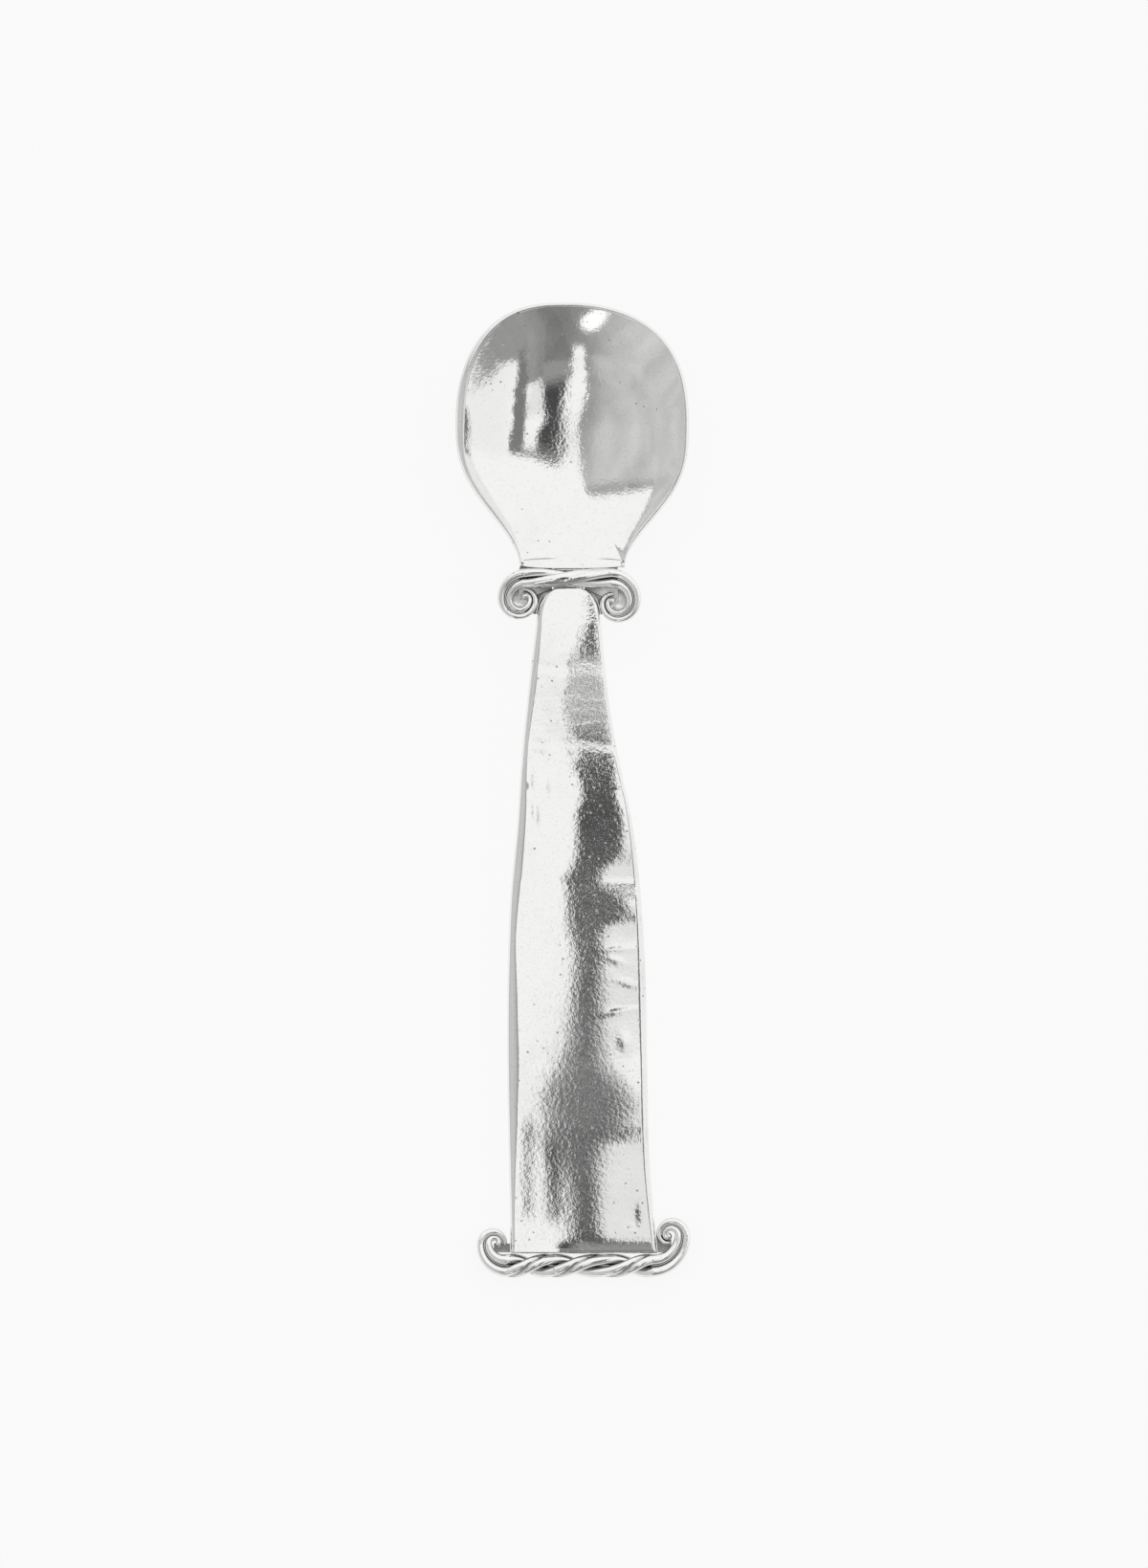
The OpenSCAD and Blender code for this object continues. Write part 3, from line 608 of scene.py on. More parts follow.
def rope_line(y, z, xl, xr, left, right, up, wire_d, sink, half_turns):
    """Middle line of a rope from its left tip to its right tip: the left scroll backwards, the
    straight rope and the right scroll, as centre, heading, turn of the wires and wire radius.
    The wires lie side by side in the scrolls and twist between them. up is 1 for scrolls that
    curl up the spoon and -1 for scrolls that curl down it."""
    a = scroll(left, TURN_STEPS)
    b = scroll(right, TURN_STEPS)
    u = np.linspace(0, 1, ROPE_ROWS)
    la, lb = a[-1, 3], b[-1, 3]
    ra = thinned(wire_d, a[:, 3] / la)
    rb = thinned(wire_d, b[:, 3] / lb)
    one = np.ones_like(u)
    x = np.concatenate([(xl - a[:, 0])[::-1], xl + (xr - xl) * u, xr + b[:, 0]])
    ys = np.concatenate([(y + up * a[:, 1])[::-1], y * one, y + up * b[:, 1]])
    zs = np.concatenate([(z - sink * a[:, 3] / la)[::-1], z * one, z - sink * b[:, 3] / lb])
    hx = np.concatenate([np.cos(a[:, 2])[::-1], one, np.cos(b[:, 2])])
    hy = np.concatenate([-up * np.sin(a[:, 2])[::-1], 0 * one, up * np.sin(b[:, 2])])
    last = half_turns[-1][1]
    turn = np.pi * np.concatenate([0 * a[:, 0], through(half_turns, u), last + 0 * b[:, 0]])
    r = np.concatenate([ra[::-1], one * wire_d / 2, rb])
    return np.stack([x, ys, zs], 1), np.stack([hx, hy, 0 * hx], 1), turn, r


def neck_line():
    """Middle line of the rope across the neck, whose scrolls curl down."""
    return rope_line(NECK_ROPE_Y, NECK_ROPE_Z, NECK_LEFT_X, NECK_RIGHT_X, NECK_LEFT_TURNS,
                     NECK_RIGHT_TURNS, -1, NECK_WIRE_D, NECK_SCROLL_SINK, NECK_HALF_TURNS)


def foot_line():
    """Middle line of the rope across the end face, whose scrolls curl up."""
    return rope_line(FOOT_ROPE_Y, FOOT_ROPE_Z, FOOT_LEFT_X, FOOT_RIGHT_X, FOOT_LEFT_TURNS,
                     FOOT_RIGHT_TURNS, 1, FOOT_WIRE_D, FOOT_SCROLL_SINK, FOOT_HALF_TURNS)


# How far the ball at a wire's tip reaches back along it, and how much it swells the wire
BALL_RUN = 0.7
BALL = 0.3
# The balls are on the wire that lies inside each scroll: left and right of wire a, then of wire b
NECK_BALLS = ((0, BALL), (BALL, 0))
FOOT_BALLS = ((BALL, 0), (0, BALL))
# Depth of the crease along a wire, as a share of its radius, and how dark the painted shade on its sides is
NECK_CREASE = 0.04
NECK_SIDES = 0.2
FOOT_CREASE = 0.24
FOOT_SIDES = 0.75
# Half the angle round a wire that the crease takes, and that the painted shade in the crease takes, and how
# dark that painted shade is for the crease's depth
CREASE_ANGLE = 0.35
CREASE_SHADE_ANGLE = 0.26
CREASE_SHADE = 3.2
# How dark the painted shade is where a wire meets its neighbour, from which share inwards, and over which
# run
CONTACT_SHADE = 0.8
CONTACT_FROM = 0.7
CONTACT_RUN = 0.3
# How far up a wire's surface faces where its sides begin, and the run over which their painted shade grows
SIDES_FROM = 0.62
SIDES_RUN = 0.4
# How far the last point stands out from a tip's last ring
TIP_POINT = 0.02


def wire_shape(line, phase, crease, sides, balls):
    """One wire of a rope: oval rings about a centre that turns round the rope's middle line,
    with rounded tips. The radius swells by the balls given at its left and right tips, as
    exp(-(run over the ball's run) squared). A crease along its outer side, as deep as a share of
    its radius, parts it into two strands. The last result is painted shade at each point: in the
    crease, where the wire meets its neighbour, and on its steep sides."""
    centre, heading, turn, r = line
    run = np.concatenate([[0], np.cumsum(np.linalg.norm(np.diff(centre, axis=0), axis=1))])
    left_ball = balls[0] * np.exp(-(run / BALL_RUN) ** 2)
    right_ball = balls[1] * np.exp(-((run[-1] - run) / BALL_RUN) ** 2)
    r = r + left_ball + right_ball
    q = np.pi / 2 * np.arange(1, TIP_RINGS + 1) / (TIP_RINGS + 0.5)
    one = np.ones(TIP_RINGS)
    ahead = np.sin(q)[:, None]
    left_tip = centre[:1] - (ahead * r[0] * heading[:1])[::-1]
    right_tip = centre[-1:] + ahead * r[-1] * heading[-1:]
    centre = np.concatenate([left_tip, centre, right_tip])
    round_r = np.concatenate([r[0] * np.cos(q)[::-1], r, r[-1] * np.cos(q)])[:, None, None]
    orbit = np.concatenate([r[0] * one, r, r[-1] * one])[:, None] + WIRE_CLEAR / 2
    turn = np.concatenate([turn[0] * one, turn, turn[-1] * one])
    heading = np.concatenate([one[:, None] * heading[:1], heading, one[:, None] * heading[-1:]])
    a = (phase - turn)[:, None]
    side = np.stack([-heading[:, 1], heading[:, 0], 0 * turn], 1)
    up = np.array([0, 0, 1.0])
    out = np.cos(a) * side + np.sin(a) * up
    along = -np.sin(a) * side + np.cos(a) * up
    b = -2 * np.pi * np.arange(WIRE_SIDES) / WIRE_SIDES
    near = np.abs((b + np.pi) % (2 * np.pi) - np.pi)
    bulge = (1 - crease * np.exp(-(near / CREASE_ANGLE) ** 2))[:, None]
    ring = (out[:, None] * np.cos(b)[:, None] + along[:, None] * WIRE_FLAT * np.sin(b)[:, None]) * bulge
    middle = centre + out * orbit
    rings = middle[:, None] + ring * round_r
    tilt = np.sin(a) * np.cos(b) + np.cos(a) * np.sin(b) / WIRE_FLAT
    tilt = tilt / np.hypot(np.cos(b), np.sin(b) / WIRE_FLAT)
    # Painted shade: dark where the wire meets its neighbour, in the crease, and on its steep sides
    contact = CONTACT_SHADE * smooth((-np.cos(b) - CONTACT_FROM) / CONTACT_RUN)
    crease_shade = CREASE_SHADE * crease * np.exp(-(near / CREASE_SHADE_ANGLE) ** 2)
    painted_shade = np.maximum(contact, crease_shade)
    painted_shade = np.maximum(painted_shade, sides * smooth((SIDES_FROM - tilt) / SIDES_RUN))
    return rings, middle[0] - heading[0] * TIP_POINT, middle[-1] + heading[-1] * TIP_POINT, painted_shade


def bead_shape():
    """Bead along the bowl's neck end, thinner towards its ends: a short wall beside the rope, and
    a rounded fall to the bowl, in which the height is 1 less a part of the share across and a
    part of its cube. The last result is painted shade at each point: a dark line along its far
    edge near both ends, where it stands clear."""
    u = np.linspace(-1, 1, BEAD_ROWS)[:, None]
    k = 1 - (1 - BEAD_END_SHARE) * u ** 4
    a = np.pi * np.arange(BEAD_SIDES + 1) / BEAD_SIDES
    across = (1 - np.cos(a)) / 2
    half = BOWL_NECK_W / 2 - BOWL_WALL / 2
    uneven = 1
    for height, rate, start in BEAD_WAVES:
        uneven = uneven + height * np.sin(rate * u + start)
    x = BOWL_SHIFT + u * half + 0 * a
    y = BOWL_Y + BEAD_W / 2 * (1 - k * np.cos(a)) - BEAD_LAP * np.cos(a / 2) ** 2
    crown = np.where(a > 0, 1 - BEAD_FALLS[0] * across - BEAD_FALLS[1] * across ** 3, 0)
    z = NECK_RIM_Z + SOLDER_FILM + k * uneven * BEAD_FULL * BEAD_H * crown
    rings = np.stack([x, y, z], 2)
    # Painted shade: a dark line along the bead's far edge, towards both ends
    edge = smooth((a - BEAD_EDGE) / BEAD_EDGE_RUN)
    clear = smooth((np.abs(u - BEAD_MIDDLE) - BEAD_BRIGHT) / BEAD_BRIGHT_RUN)
    return rings, rings[0].mean(0), rings[-1].mean(0), BEAD_SEAM_SHADE * edge * clear


def sheet_rings(plan, centre, low, thick, dip):
    """A web of solder on an outline in plan: a flat underside, short sides and a top that dips
    towards its centre as a parabola. The last result, used for painted shade, is 0 at its centre and 1 at
    its edge."""
    plan = np.asarray(plan)
    centre = np.asarray(centre)
    under = np.arange(1, WEB_UNDER_RINGS + 1) / WEB_UNDER_RINGS
    top = np.arange(WEB_TOP_RINGS, 0, -1) / WEB_TOP_RINGS
    s = np.concatenate([under, [1.0], top])
    z = np.concatenate([low + 0 * under, [low + thick * WEB_SIDE_SHARE], low + thick - dip * (1 - top ** 2)])
    xy = centre + (plan - centre) * s[:, None, None]
    rings = np.concatenate([xy, np.broadcast_to(z[:, None, None], xy.shape[:2] + (1,))], 2)
    # Painted shade: the web darkens from partway out to its edge, where it meets the handle and the scroll
    painted_shade = smooth((s[:, None] - WEB_SHADE_FROM) / WEB_SHADE_RUN) + 0 * xy[:, :, 0]
    return rings, (*centre, low), (*centre, low + thick - dip), painted_shade


def dense(plan, n):
    """A closed outline cut into n even steps."""
    p = np.asarray(plan, float)
    loop = np.concatenate([p, p[:1]])
    step = np.hypot(*np.diff(loop, axis=0).T)
    at = np.concatenate([[0], np.cumsum(step)])
    s = np.linspace(0, at[-1], n, endpoint=False)
    return np.stack([np.interp(s, at, loop[:, 0]), np.interp(s, at, loop[:, 1])], 1)


def neck_web_plan(side, turns, rope_x):
    """Outline of a web beside the handle's top: along the shoulder and the tang to the bowl's
    end, and round under the scroll."""
    far_x = rope_x + side * (turns[0] - turns[1])
    far_y = NECK_ROPE_Y - turns[0]
    step = np.arange(1, WEB_SHOULDER_STEPS + 1) / WEB_SHOULDER_STEPS
    y = SHOULDER_START_Y + SHOULDER_LEN * np.sin(np.pi / 2 * step)
    inner = np.stack([handle_edge_x(side, y) + side * SOLDER_FILM, y], 1)
    r = WEB_REACH * turns[1]
    outer = np.stack([far_x - side * r * np.cos(WEB_ARC), far_y + r * np.sin(WEB_ARC)], 1)
    mid = np.array([[side * (TANG_W / 2 + SOLDER_FILM), BOWL_Y], [far_x, BOWL_Y]])
    centre = (far_x + side * NECK_WEB_CENTRE[0], far_y + NECK_WEB_CENTRE[1])
    return dense(np.concatenate([inner, mid, outer]), NECK_WEB_POINTS), centre


def foot_web_plan(side, turns, rope_x):
    """Outline of a web beside the handle's foot: between its side and the scroll."""
    far_x = rope_x + side * (turns[0] - turns[1])
    far_y = FOOT_ROPE_Y + turns[0]
    near = [float(handle_edge_x(side, np.array(y)) + side * SOLDER_FILM) for y in (FOOT_Y, far_y)]
    plan = [(near[0], FOOT_Y), (far_x, FOOT_Y), (far_x, far_y), (near[1], far_y)]
    return dense(plan, FOOT_WEB_POINTS), tuple(np.mean(plan, 0))


def skin(rings, first, last):
    """Points and faces of a closed skin over rings of equal length, with a point at each end,
    in metres in the part's frame. Faces point outwards: where the volume, summed over the
    triangles as a triple product of their corners, comes out negative, the faces are turned."""
    m, n = rings.shape[:2]
    points = np.concatenate([rings.reshape(-1, 3), [first, last]])
    i = np.arange(m - 1)[:, None] * n
    j = np.arange(n)
    k = (j + 1) % n
    quads = np.stack([i + j, i + k, i + n + k, i + n + j], 2).reshape(-1, 4)
    top = (m - 1) * n
    low = np.stack([np.full(n, m * n), k, j], 1)
    high = np.stack([np.full(n, m * n + 1), top + j, top + k], 1)
    corners = points[np.concatenate([quads[:, :3], quads[:, [0, 2, 3]], low, high])]
    if np.sum(corners[:, 0] * np.cross(corners[:, 1], corners[:, 2])) < 0:
        quads, low, high = quads[:, ::-1], low[:, ::-1], high[:, ::-1]
    return (points - MIDDLE) * MM, quads.tolist() + low.tolist() + high.tolist()


# Angle between two faces from which their edge is sharp
SHARP_ANGLE = np.radians(50)


def piece(node, material, skins, marks=None):
    """One object for a node: its skins joined in one mesh, smooth but for its true corners."""
    points = []
    faces = []
    start = 0
    for p, f in skins:
        points.append(p)
        faces += [[v + start for v in face] for face in f]
        start += len(p)
    mesh = bpy.data.meshes.new(node + "_shape")
    mesh.from_pydata(np.concatenate(points).tolist(), [], faces)
    for name, values in (marks or {}).items():
        layer = mesh.attributes.new(name, "FLOAT", "POINT")
        layer.data.foreach_set("value", np.concatenate([values.ravel(), [0, 0]]).astype(np.float32))
    mesh.shade_smooth()
    mesh.set_sharp_from_angle(angle=SHARP_ANGLE)
    mesh.materials.append(material)
    obj = bpy.data.objects.new(node + "_skin", mesh)
    bpy.context.scene.collection.objects.link(obj)
    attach(obj, "root")
    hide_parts(node)
    return obj


class Sock:
    """A node socket with sums: an expression on values adds its Math nodes."""

    def __init__(self, tree, socket):
        self.tree = tree
        self.socket = socket

    def node(self, kind, settings=None, out=0, **inputs):
        """Adds a node: its settings first, then the values or links of its sockets, where a
        name's underscores stand for spaces and i0, i1 stand for places."""
        new = self.tree.nodes.new(kind)
        for key, value in (settings or {}).items():
            setattr(new, key, value)
        for key, value in inputs.items():
            place = int(key[1:]) if key[0] == "i" and key[1:].isdigit() else key.replace("_", " ")
            socket = new.inputs[place]
            if isinstance(value, Sock):
                self.tree.links.new(value.socket, socket)
            else:
                socket.default_value = value
        return Sock(self.tree, new.outputs[out]) if len(new.outputs) else new

    def maths(self, operation, a, b=0.0):
        return self.node("ShaderNodeMath", {"operation": operation}, i0=a, i1=b)

    def __add__(self, other):
        return self.maths("ADD", self, other)

    def __sub__(self, other):
        return self.maths("SUBTRACT", self, other)

    def __mul__(self, other):
        return self.maths("MULTIPLY", self, other)

    def __truediv__(self, other):
        return self.maths("DIVIDE", self, other)

    def __rsub__(self, other):
        return self.maths("SUBTRACT", other, self)

    def __rtruediv__(self, other):
        return self.maths("DIVIDE", other, self)

    __radd__ = __add__
    __rmul__ = __mul__

    def abs(self):
        return self.maths("ABSOLUTE", self)

    def rise(self, low, high):
        """0 at low, 1 at high, smooth between."""
        return self.node("ShaderNodeMapRange", {"interpolation_type": "SMOOTHSTEP"},
                         i0=self, i1=low, i2=high, i3=0.0, i4=1.0)

    def within(self, low, high, soft):
        """1 between low and high, 0 outside, with soft edges."""
        return self.rise(low - soft, low + soft) * (1 - self.rise(high - soft, high + soft))

    def parts(self):
        """The three numbers of a vector."""
        split = self.tree.nodes.new("ShaderNodeSeparateXYZ")
        self.tree.links.new(self.socket, split.inputs[0])
        return [Sock(self.tree, o) for o in split.outputs]


def new_material(name):
    """An empty material, and a socket to start its nodes from."""
    material = bpy.data.materials.new(name)
    material.use_nodes = True
    tree = material.node_tree
    tree.nodes.clear()
    return material, Sock(tree, None)


# Places of outputs: directions and a piece's own coordinates on a Texture Coordinate node, the
# number of an Attribute node and the colour of a Mix node
DIRECTION = 0
OBJECT = 3
NUMBER = 2
MIXED = 2
# The metal's patterns, in cells to the metre
WAVE_SCALE = 300.0
CLOUD_SCALE = 90.0
PIT_SCALE = 700.0
SPECK_SCALE = 2600.0
# Pits: where a pit ends, from the middle of its cell, and how cloudy the metal is where pits are
PIT_EDGE = (0.06, 0.14)
PIT_CLOUD = (0.48, 0.54)
PIT_DEPTH = 2e-5
# How far pits, clouds of tarnish, specks and the painted shade take the colour from bright to dark
PIT_SHADE = 0.7
CLOUD_RISE = (0.45, 0.8)
CLOUD_SHADE = 0.08
SPECK_RISE = (0.5, 0.85)
SPECK_SHADE = 0.22
PAINTED_SHADE_DARK = 0.85
# Roughness: its least share, what the clouds add, and what dullness and dark places add
LEAST_ROUGH = 0.75
CLOUD_ROUGH = 0.5
DULL_ROUGH = 0.11
DARK_ROUGH = 0.2
MICRON = 1e-6


def own_number(s, name):
    """A number kept on the piece's own points."""
    return s.node("ShaderNodeAttribute", {"attribute_name": name}, out=NUMBER)


def pewter(name, bright, dark, rough, grain_mm, grain, waves, drawn=(1.0, 1.0, 1.0), marked=False):
    """Polished cast pewter: a bright metal whose roughness drifts, with a fine cast grain and
    slower waves as bump, both in microns, and darker pits. The waves may be drawn out. A marked
    piece has its own numbers for how coarse the grain and how dull the polish are, and any
    other has its own number for painted shade, which darkens its creases, joins, rims and undersides."""
    material, s = new_material(name)
    place = s.node("ShaderNodeTexCoord", out=OBJECT)
    fine = s.node("ShaderNodeTexNoise", Vector=place, Scale=1 / (grain_mm * MM), Detail=2.0, Roughness=0.6)
    stretched = s.node("ShaderNodeVectorMath", {"operation": "MULTIPLY"}, i0=place, i1=drawn)
    slow = s.node("ShaderNodeTexNoise", Vector=stretched, Scale=WAVE_SCALE, Detail=3.0, Roughness=0.55)
    cloud = s.node("ShaderNodeTexNoise", Vector=place, Scale=CLOUD_SCALE, Detail=3.0, Roughness=0.6)
    cells = s.node("ShaderNodeTexVoronoi", Vector=place, Scale=PIT_SCALE, Randomness=1.0)
    specks = s.node("ShaderNodeTexNoise", Vector=place, Scale=SPECK_SCALE, Detail=2.0, Roughness=0.7)
    pit = (1 - cells.rise(*PIT_EDGE)) * cloud.rise(*PIT_CLOUD)
    stain = cloud.rise(*CLOUD_RISE) * CLOUD_SHADE + specks.rise(*SPECK_RISE) * SPECK_SHADE
    shade = s.maths("MAXIMUM", pit * PIT_SHADE, stain)
    rough = rough * (LEAST_ROUGH + cloud * CLOUD_ROUGH)
    if marked:
        fine = fine * own_number(s, "grain")
        rough = rough + own_number(s, "dull_and_shade") * DULL_ROUGH
    else:
        # Painted shade: each piece's own number darkens the colour in creases, joins, rims and undersides
        shade = s.maths("MAXIMUM", shade, own_number(s, "painted_shade") * PAINTED_SHADE_DARK)
    height = fine * (grain * MICRON) + slow * (waves * MICRON) - pit * PIT_DEPTH
    bump = s.node("ShaderNodeBump", Strength=1.0, Distance=1.0, Height=height)
    colour = s.node("ShaderNodeMix", {"data_type": "RGBA"}, out=MIXED,
                    i0=shade, i6=(*bright, 1), i7=(dark, dark, dark, 1))
    shader = s.node("ShaderNodeBsdfPrincipled", Base_Color=colour, Metallic=1.0,
                    Roughness=rough + shade * DARK_ROUGH, Normal=bump)
    s.node("ShaderNodeOutputMaterial", Surface=shader)
    return material


CAST_PEWTER = (0.9, 0.9, 0.89)
DRAWN_PEWTER = (0.93, 0.93, 0.92)
bowl_pewter = pewter("bowl_pewter", CAST_PEWTER, dark=0.2, rough=0.04, grain_mm=0.45, grain=10.0,
                     waves=28.0, drawn=(1.0, 0.55, 1.0))
handle_pewter = pewter("handle_pewter", CAST_PEWTER, dark=0.2, rough=0.05, grain_mm=0.6, grain=42.0,
                       waves=14.0, drawn=(0.5, 1.3, 1.0), marked=True)
wire_pewter = pewter("wire_pewter", DRAWN_PEWTER, dark=0.06, rough=0.05, grain_mm=0.4, grain=1.0,
                     waves=70.0)
bright_solder = pewter("bright_solder", CAST_PEWTER, dark=0.12, rough=0.12, grain_mm=0.4, grain=1.0,
                       waves=4.0)
# The webs' solder, whose grey is painted shade
painted_shade_solder = pewter("painted_shade_solder", CAST_PEWTER, dark=0.32, rough=0.25, grain_mm=0.4, grain=3.0,
                     waves=20.0)

*shape, painted_shade = bowl_shape()
piece("bowl", bowl_pewter, [skin(*shape)], {"painted_shade": painted_shade})
handle = handle_shape()
piece("handle", handle_pewter, [skin(*handle)], front_marks(handle[0]))
for node, line, phase, crease, sides, balls in (
        ("neck_wire_a", neck_line(), 0, NECK_CREASE, NECK_SIDES, NECK_BALLS[0]),
        ("neck_wire_b", neck_line(), np.pi, NECK_CREASE, NECK_SIDES, NECK_BALLS[1]),
        ("foot_wire_a", foot_line(), 0, FOOT_CREASE, FOOT_SIDES, FOOT_BALLS[0]),
        ("foot_wire_b", foot_line(), np.pi, FOOT_CREASE, FOOT_SIDES, FOOT_BALLS[1])):
    *shape, painted_shade = wire_shape(line, phase, crease, sides, balls)
    piece(node, wire_pewter, [skin(*shape)], {"painted_shade": painted_shade})
*shape, painted_shade = bead_shape()
piece("bowl_seam_solder", bright_solder, [skin(*shape)], {"painted_shade": painted_shade})
for node, low, thick, dip, dull_and_shade, plan, ends in (
        ("neck_solder_webs", NECK_WEB_Z - NECK_WEB_THICK, NECK_WEB_THICK, NECK_WEB_DIP, NECK_WEB_SHADE,
         neck_web_plan, ((-1, NECK_LEFT_TURNS, NECK_LEFT_X), (1, NECK_RIGHT_TURNS, NECK_RIGHT_X))),
        ("foot_solder_webs", SOLDER_FILM, FOOT_WEB_THICK, FOOT_WEB_DIP, FOOT_WEB_SHADE,
         foot_web_plan, ((-1, FOOT_LEFT_TURNS, FOOT_LEFT_X), (1, FOOT_RIGHT_TURNS, FOOT_RIGHT_X)))):
    *left, left_painted_shade = sheet_rings(*plan(*ends[0]), low, thick, dip)
    *right, right_painted_shade = sheet_rings(*plan(*ends[1]), low, thick, dip)
    # Painted shade: the webs darker towards their edges, and the foot webs dark all over
    web_shade = np.concatenate([left_painted_shade.ravel(), [0, 0], right_painted_shade.ravel()])
    piece(node, painted_shade_solder, [skin(*left), skin(*right)], {"painted_shade": np.maximum(web_shade, dull_and_shade)})


# The studio, by the slope of the surface that would mirror a place straight up: p to the right
# and q towards the bowl's tip. A pair is where a change begins and ends. A trio is the two sides
# of a strip and the softness of its edges. A slant is how a side moves along the other way.
PAST_POLE = 1.001
# Noise: scales, and how far streaks are drawn out
RAG_SCALE = 28.0
MOTTLE_SCALE = 7.0
STREAK_SCALE = 40.0
STREAK_SHARE = 0.2
# How ragged the outlines are in the middle and further out
RAG_NEAR = 0.02
RAG_FAR = 0.06
RAG_RISE = (0.07, 0.15)
# The wall: its side left of the middle, drawn in above and below its waist, and its top
WALL_SIDE = 0.04
WALL_WAIST = 0.01
WALL_SLANT = 0.4
WALL_DRAWN_IN = 0.065
WALL_SIDE_EDGE = (-0.006, 0.006)
WALL_TOP = 0.15
WALL_TOP_RAG = 0.7
WALL_TOP_SLANT = 0.12
WALL_FAR = (0.5, 0.6)
WALL_FAR_RISE = 0.6
WALL_TOP_EDGE = (-0.012, 0.012)
# The wall's grey, its darker strip beside its side, its mottling, and the dark line under its top
WALL_LEVEL = 0.6
WALL_STRIP = (0.0, 0.13)
WALL_STRIP_REACH = (-0.45, 0.08, 0.08)
WALL_STRIP_DARK = 0.25
WALL_MOTTLE = 0.5
WALL_LINE = 0.02
WALL_LINE_W = (0.0, 0.04)
WALL_LINE_DARK = 0.2
# The room towards the foot: its top, which bends up far right, stands higher behind the spoon and
# has a notch, its left end, and its greys
ROOM_TOP = 0.33
ROOM_BEND = 0.4
ROOM_BEND_SLANT = 0.45
ROOM_STEP = (0.0, 0.3, 0.03)
ROOM_STEP_RISE = 0.13
ROOM_NOTCH = (-0.1, -0.02, 0.01)
ROOM_NOTCH_DROP = 0.08
ROOM_TOP_EDGE = (-0.015, 0.015)
ROOM_LEFT = (-0.3, -0.08)
ROOM_LEVEL = 0.34
ROOM_DARK_STRIP = (-0.03, 0.14, 0.08)
ROOM_DARK = 0.12
ROOM_STREAK = 0.22
# The dark slot overhead: its width, which grows towards the foot to a limit and steps out at its
# head, its fraying, its reach and its greys
SLOT_W = 0.03
SLOT_SLANT = 0.4
SLOT_MOST_W = 0.12
SLOT_HEAD = (-0.01, 0.01)
SLOT_HEAD_W = 0.04
SLOT_FRAY = 0.12
SLOT_FRAY_RISE = (0.08, 0.15)
SLOT_LEFT_EDGE = (-0.023, 0.001)
SLOT_RIGHT_EDGE = (0.014, -0.014)
SLOT_REACH = (-0.3, 0.042, 0.008)
SLOT_LEVEL = 0.07
SLOT_FADE = (0.12, 0.22)
SLOT_FADE_LEVEL = 0.25
# The dark bar right of it, with torn sides that lean, and the tie between the two
BAR_TEAR = 0.14
BAR_LEFT = 0.17
BAR_LEFT_SLANT = 0.9
BAR_FOOT = 0.05
BAR_FOOT_SLANT = 0.3
BAR_LEFT_EDGE = (-0.008, 0.008)
BAR_RIGHT = 0.31
BAR_RIGHT_SLANT = 1.2
BAR_RIGHT_EDGE = (0.008, -0.008)
BAR_REACH = (-0.4, 0.055, 0.008)
BAR_LEVEL = 0.22
TIE_ACROSS = (0.0, 0.32, 0.01)
TIE_ALONG = (0.042, 0.06, 0.005)
# The soft lamp low towards the foot: distances left and down, half width and height, raggedness
LAMP_LEFT = 0.118
LAMP_DOWN = 0.582
LAMP_W = 0.055
LAMP_H = 0.075
LAMP_RAG = 2.0
LAMP_EDGE = (0.2, 2.0)
LAMP_LEVEL = 1.3
# The pale horizon, by the square of the slope, and two faint shades in the white overhead
HORIZON = (0.82, 0.95)
HORIZON_LEVEL = 0.97
MIDDLE_SHADE_ACROSS = (0.04, 0.17, 0.02)
MIDDLE_SHADE_DOWN = (0.02, 0.06)
MIDDLE_SHADE = 0.15
RIGHT_SHADE_ACROSS = (0.2, 0.5)
RIGHT_SHADE_UP = (0.03, 0.12)
RIGHT_SHADE = 0.07


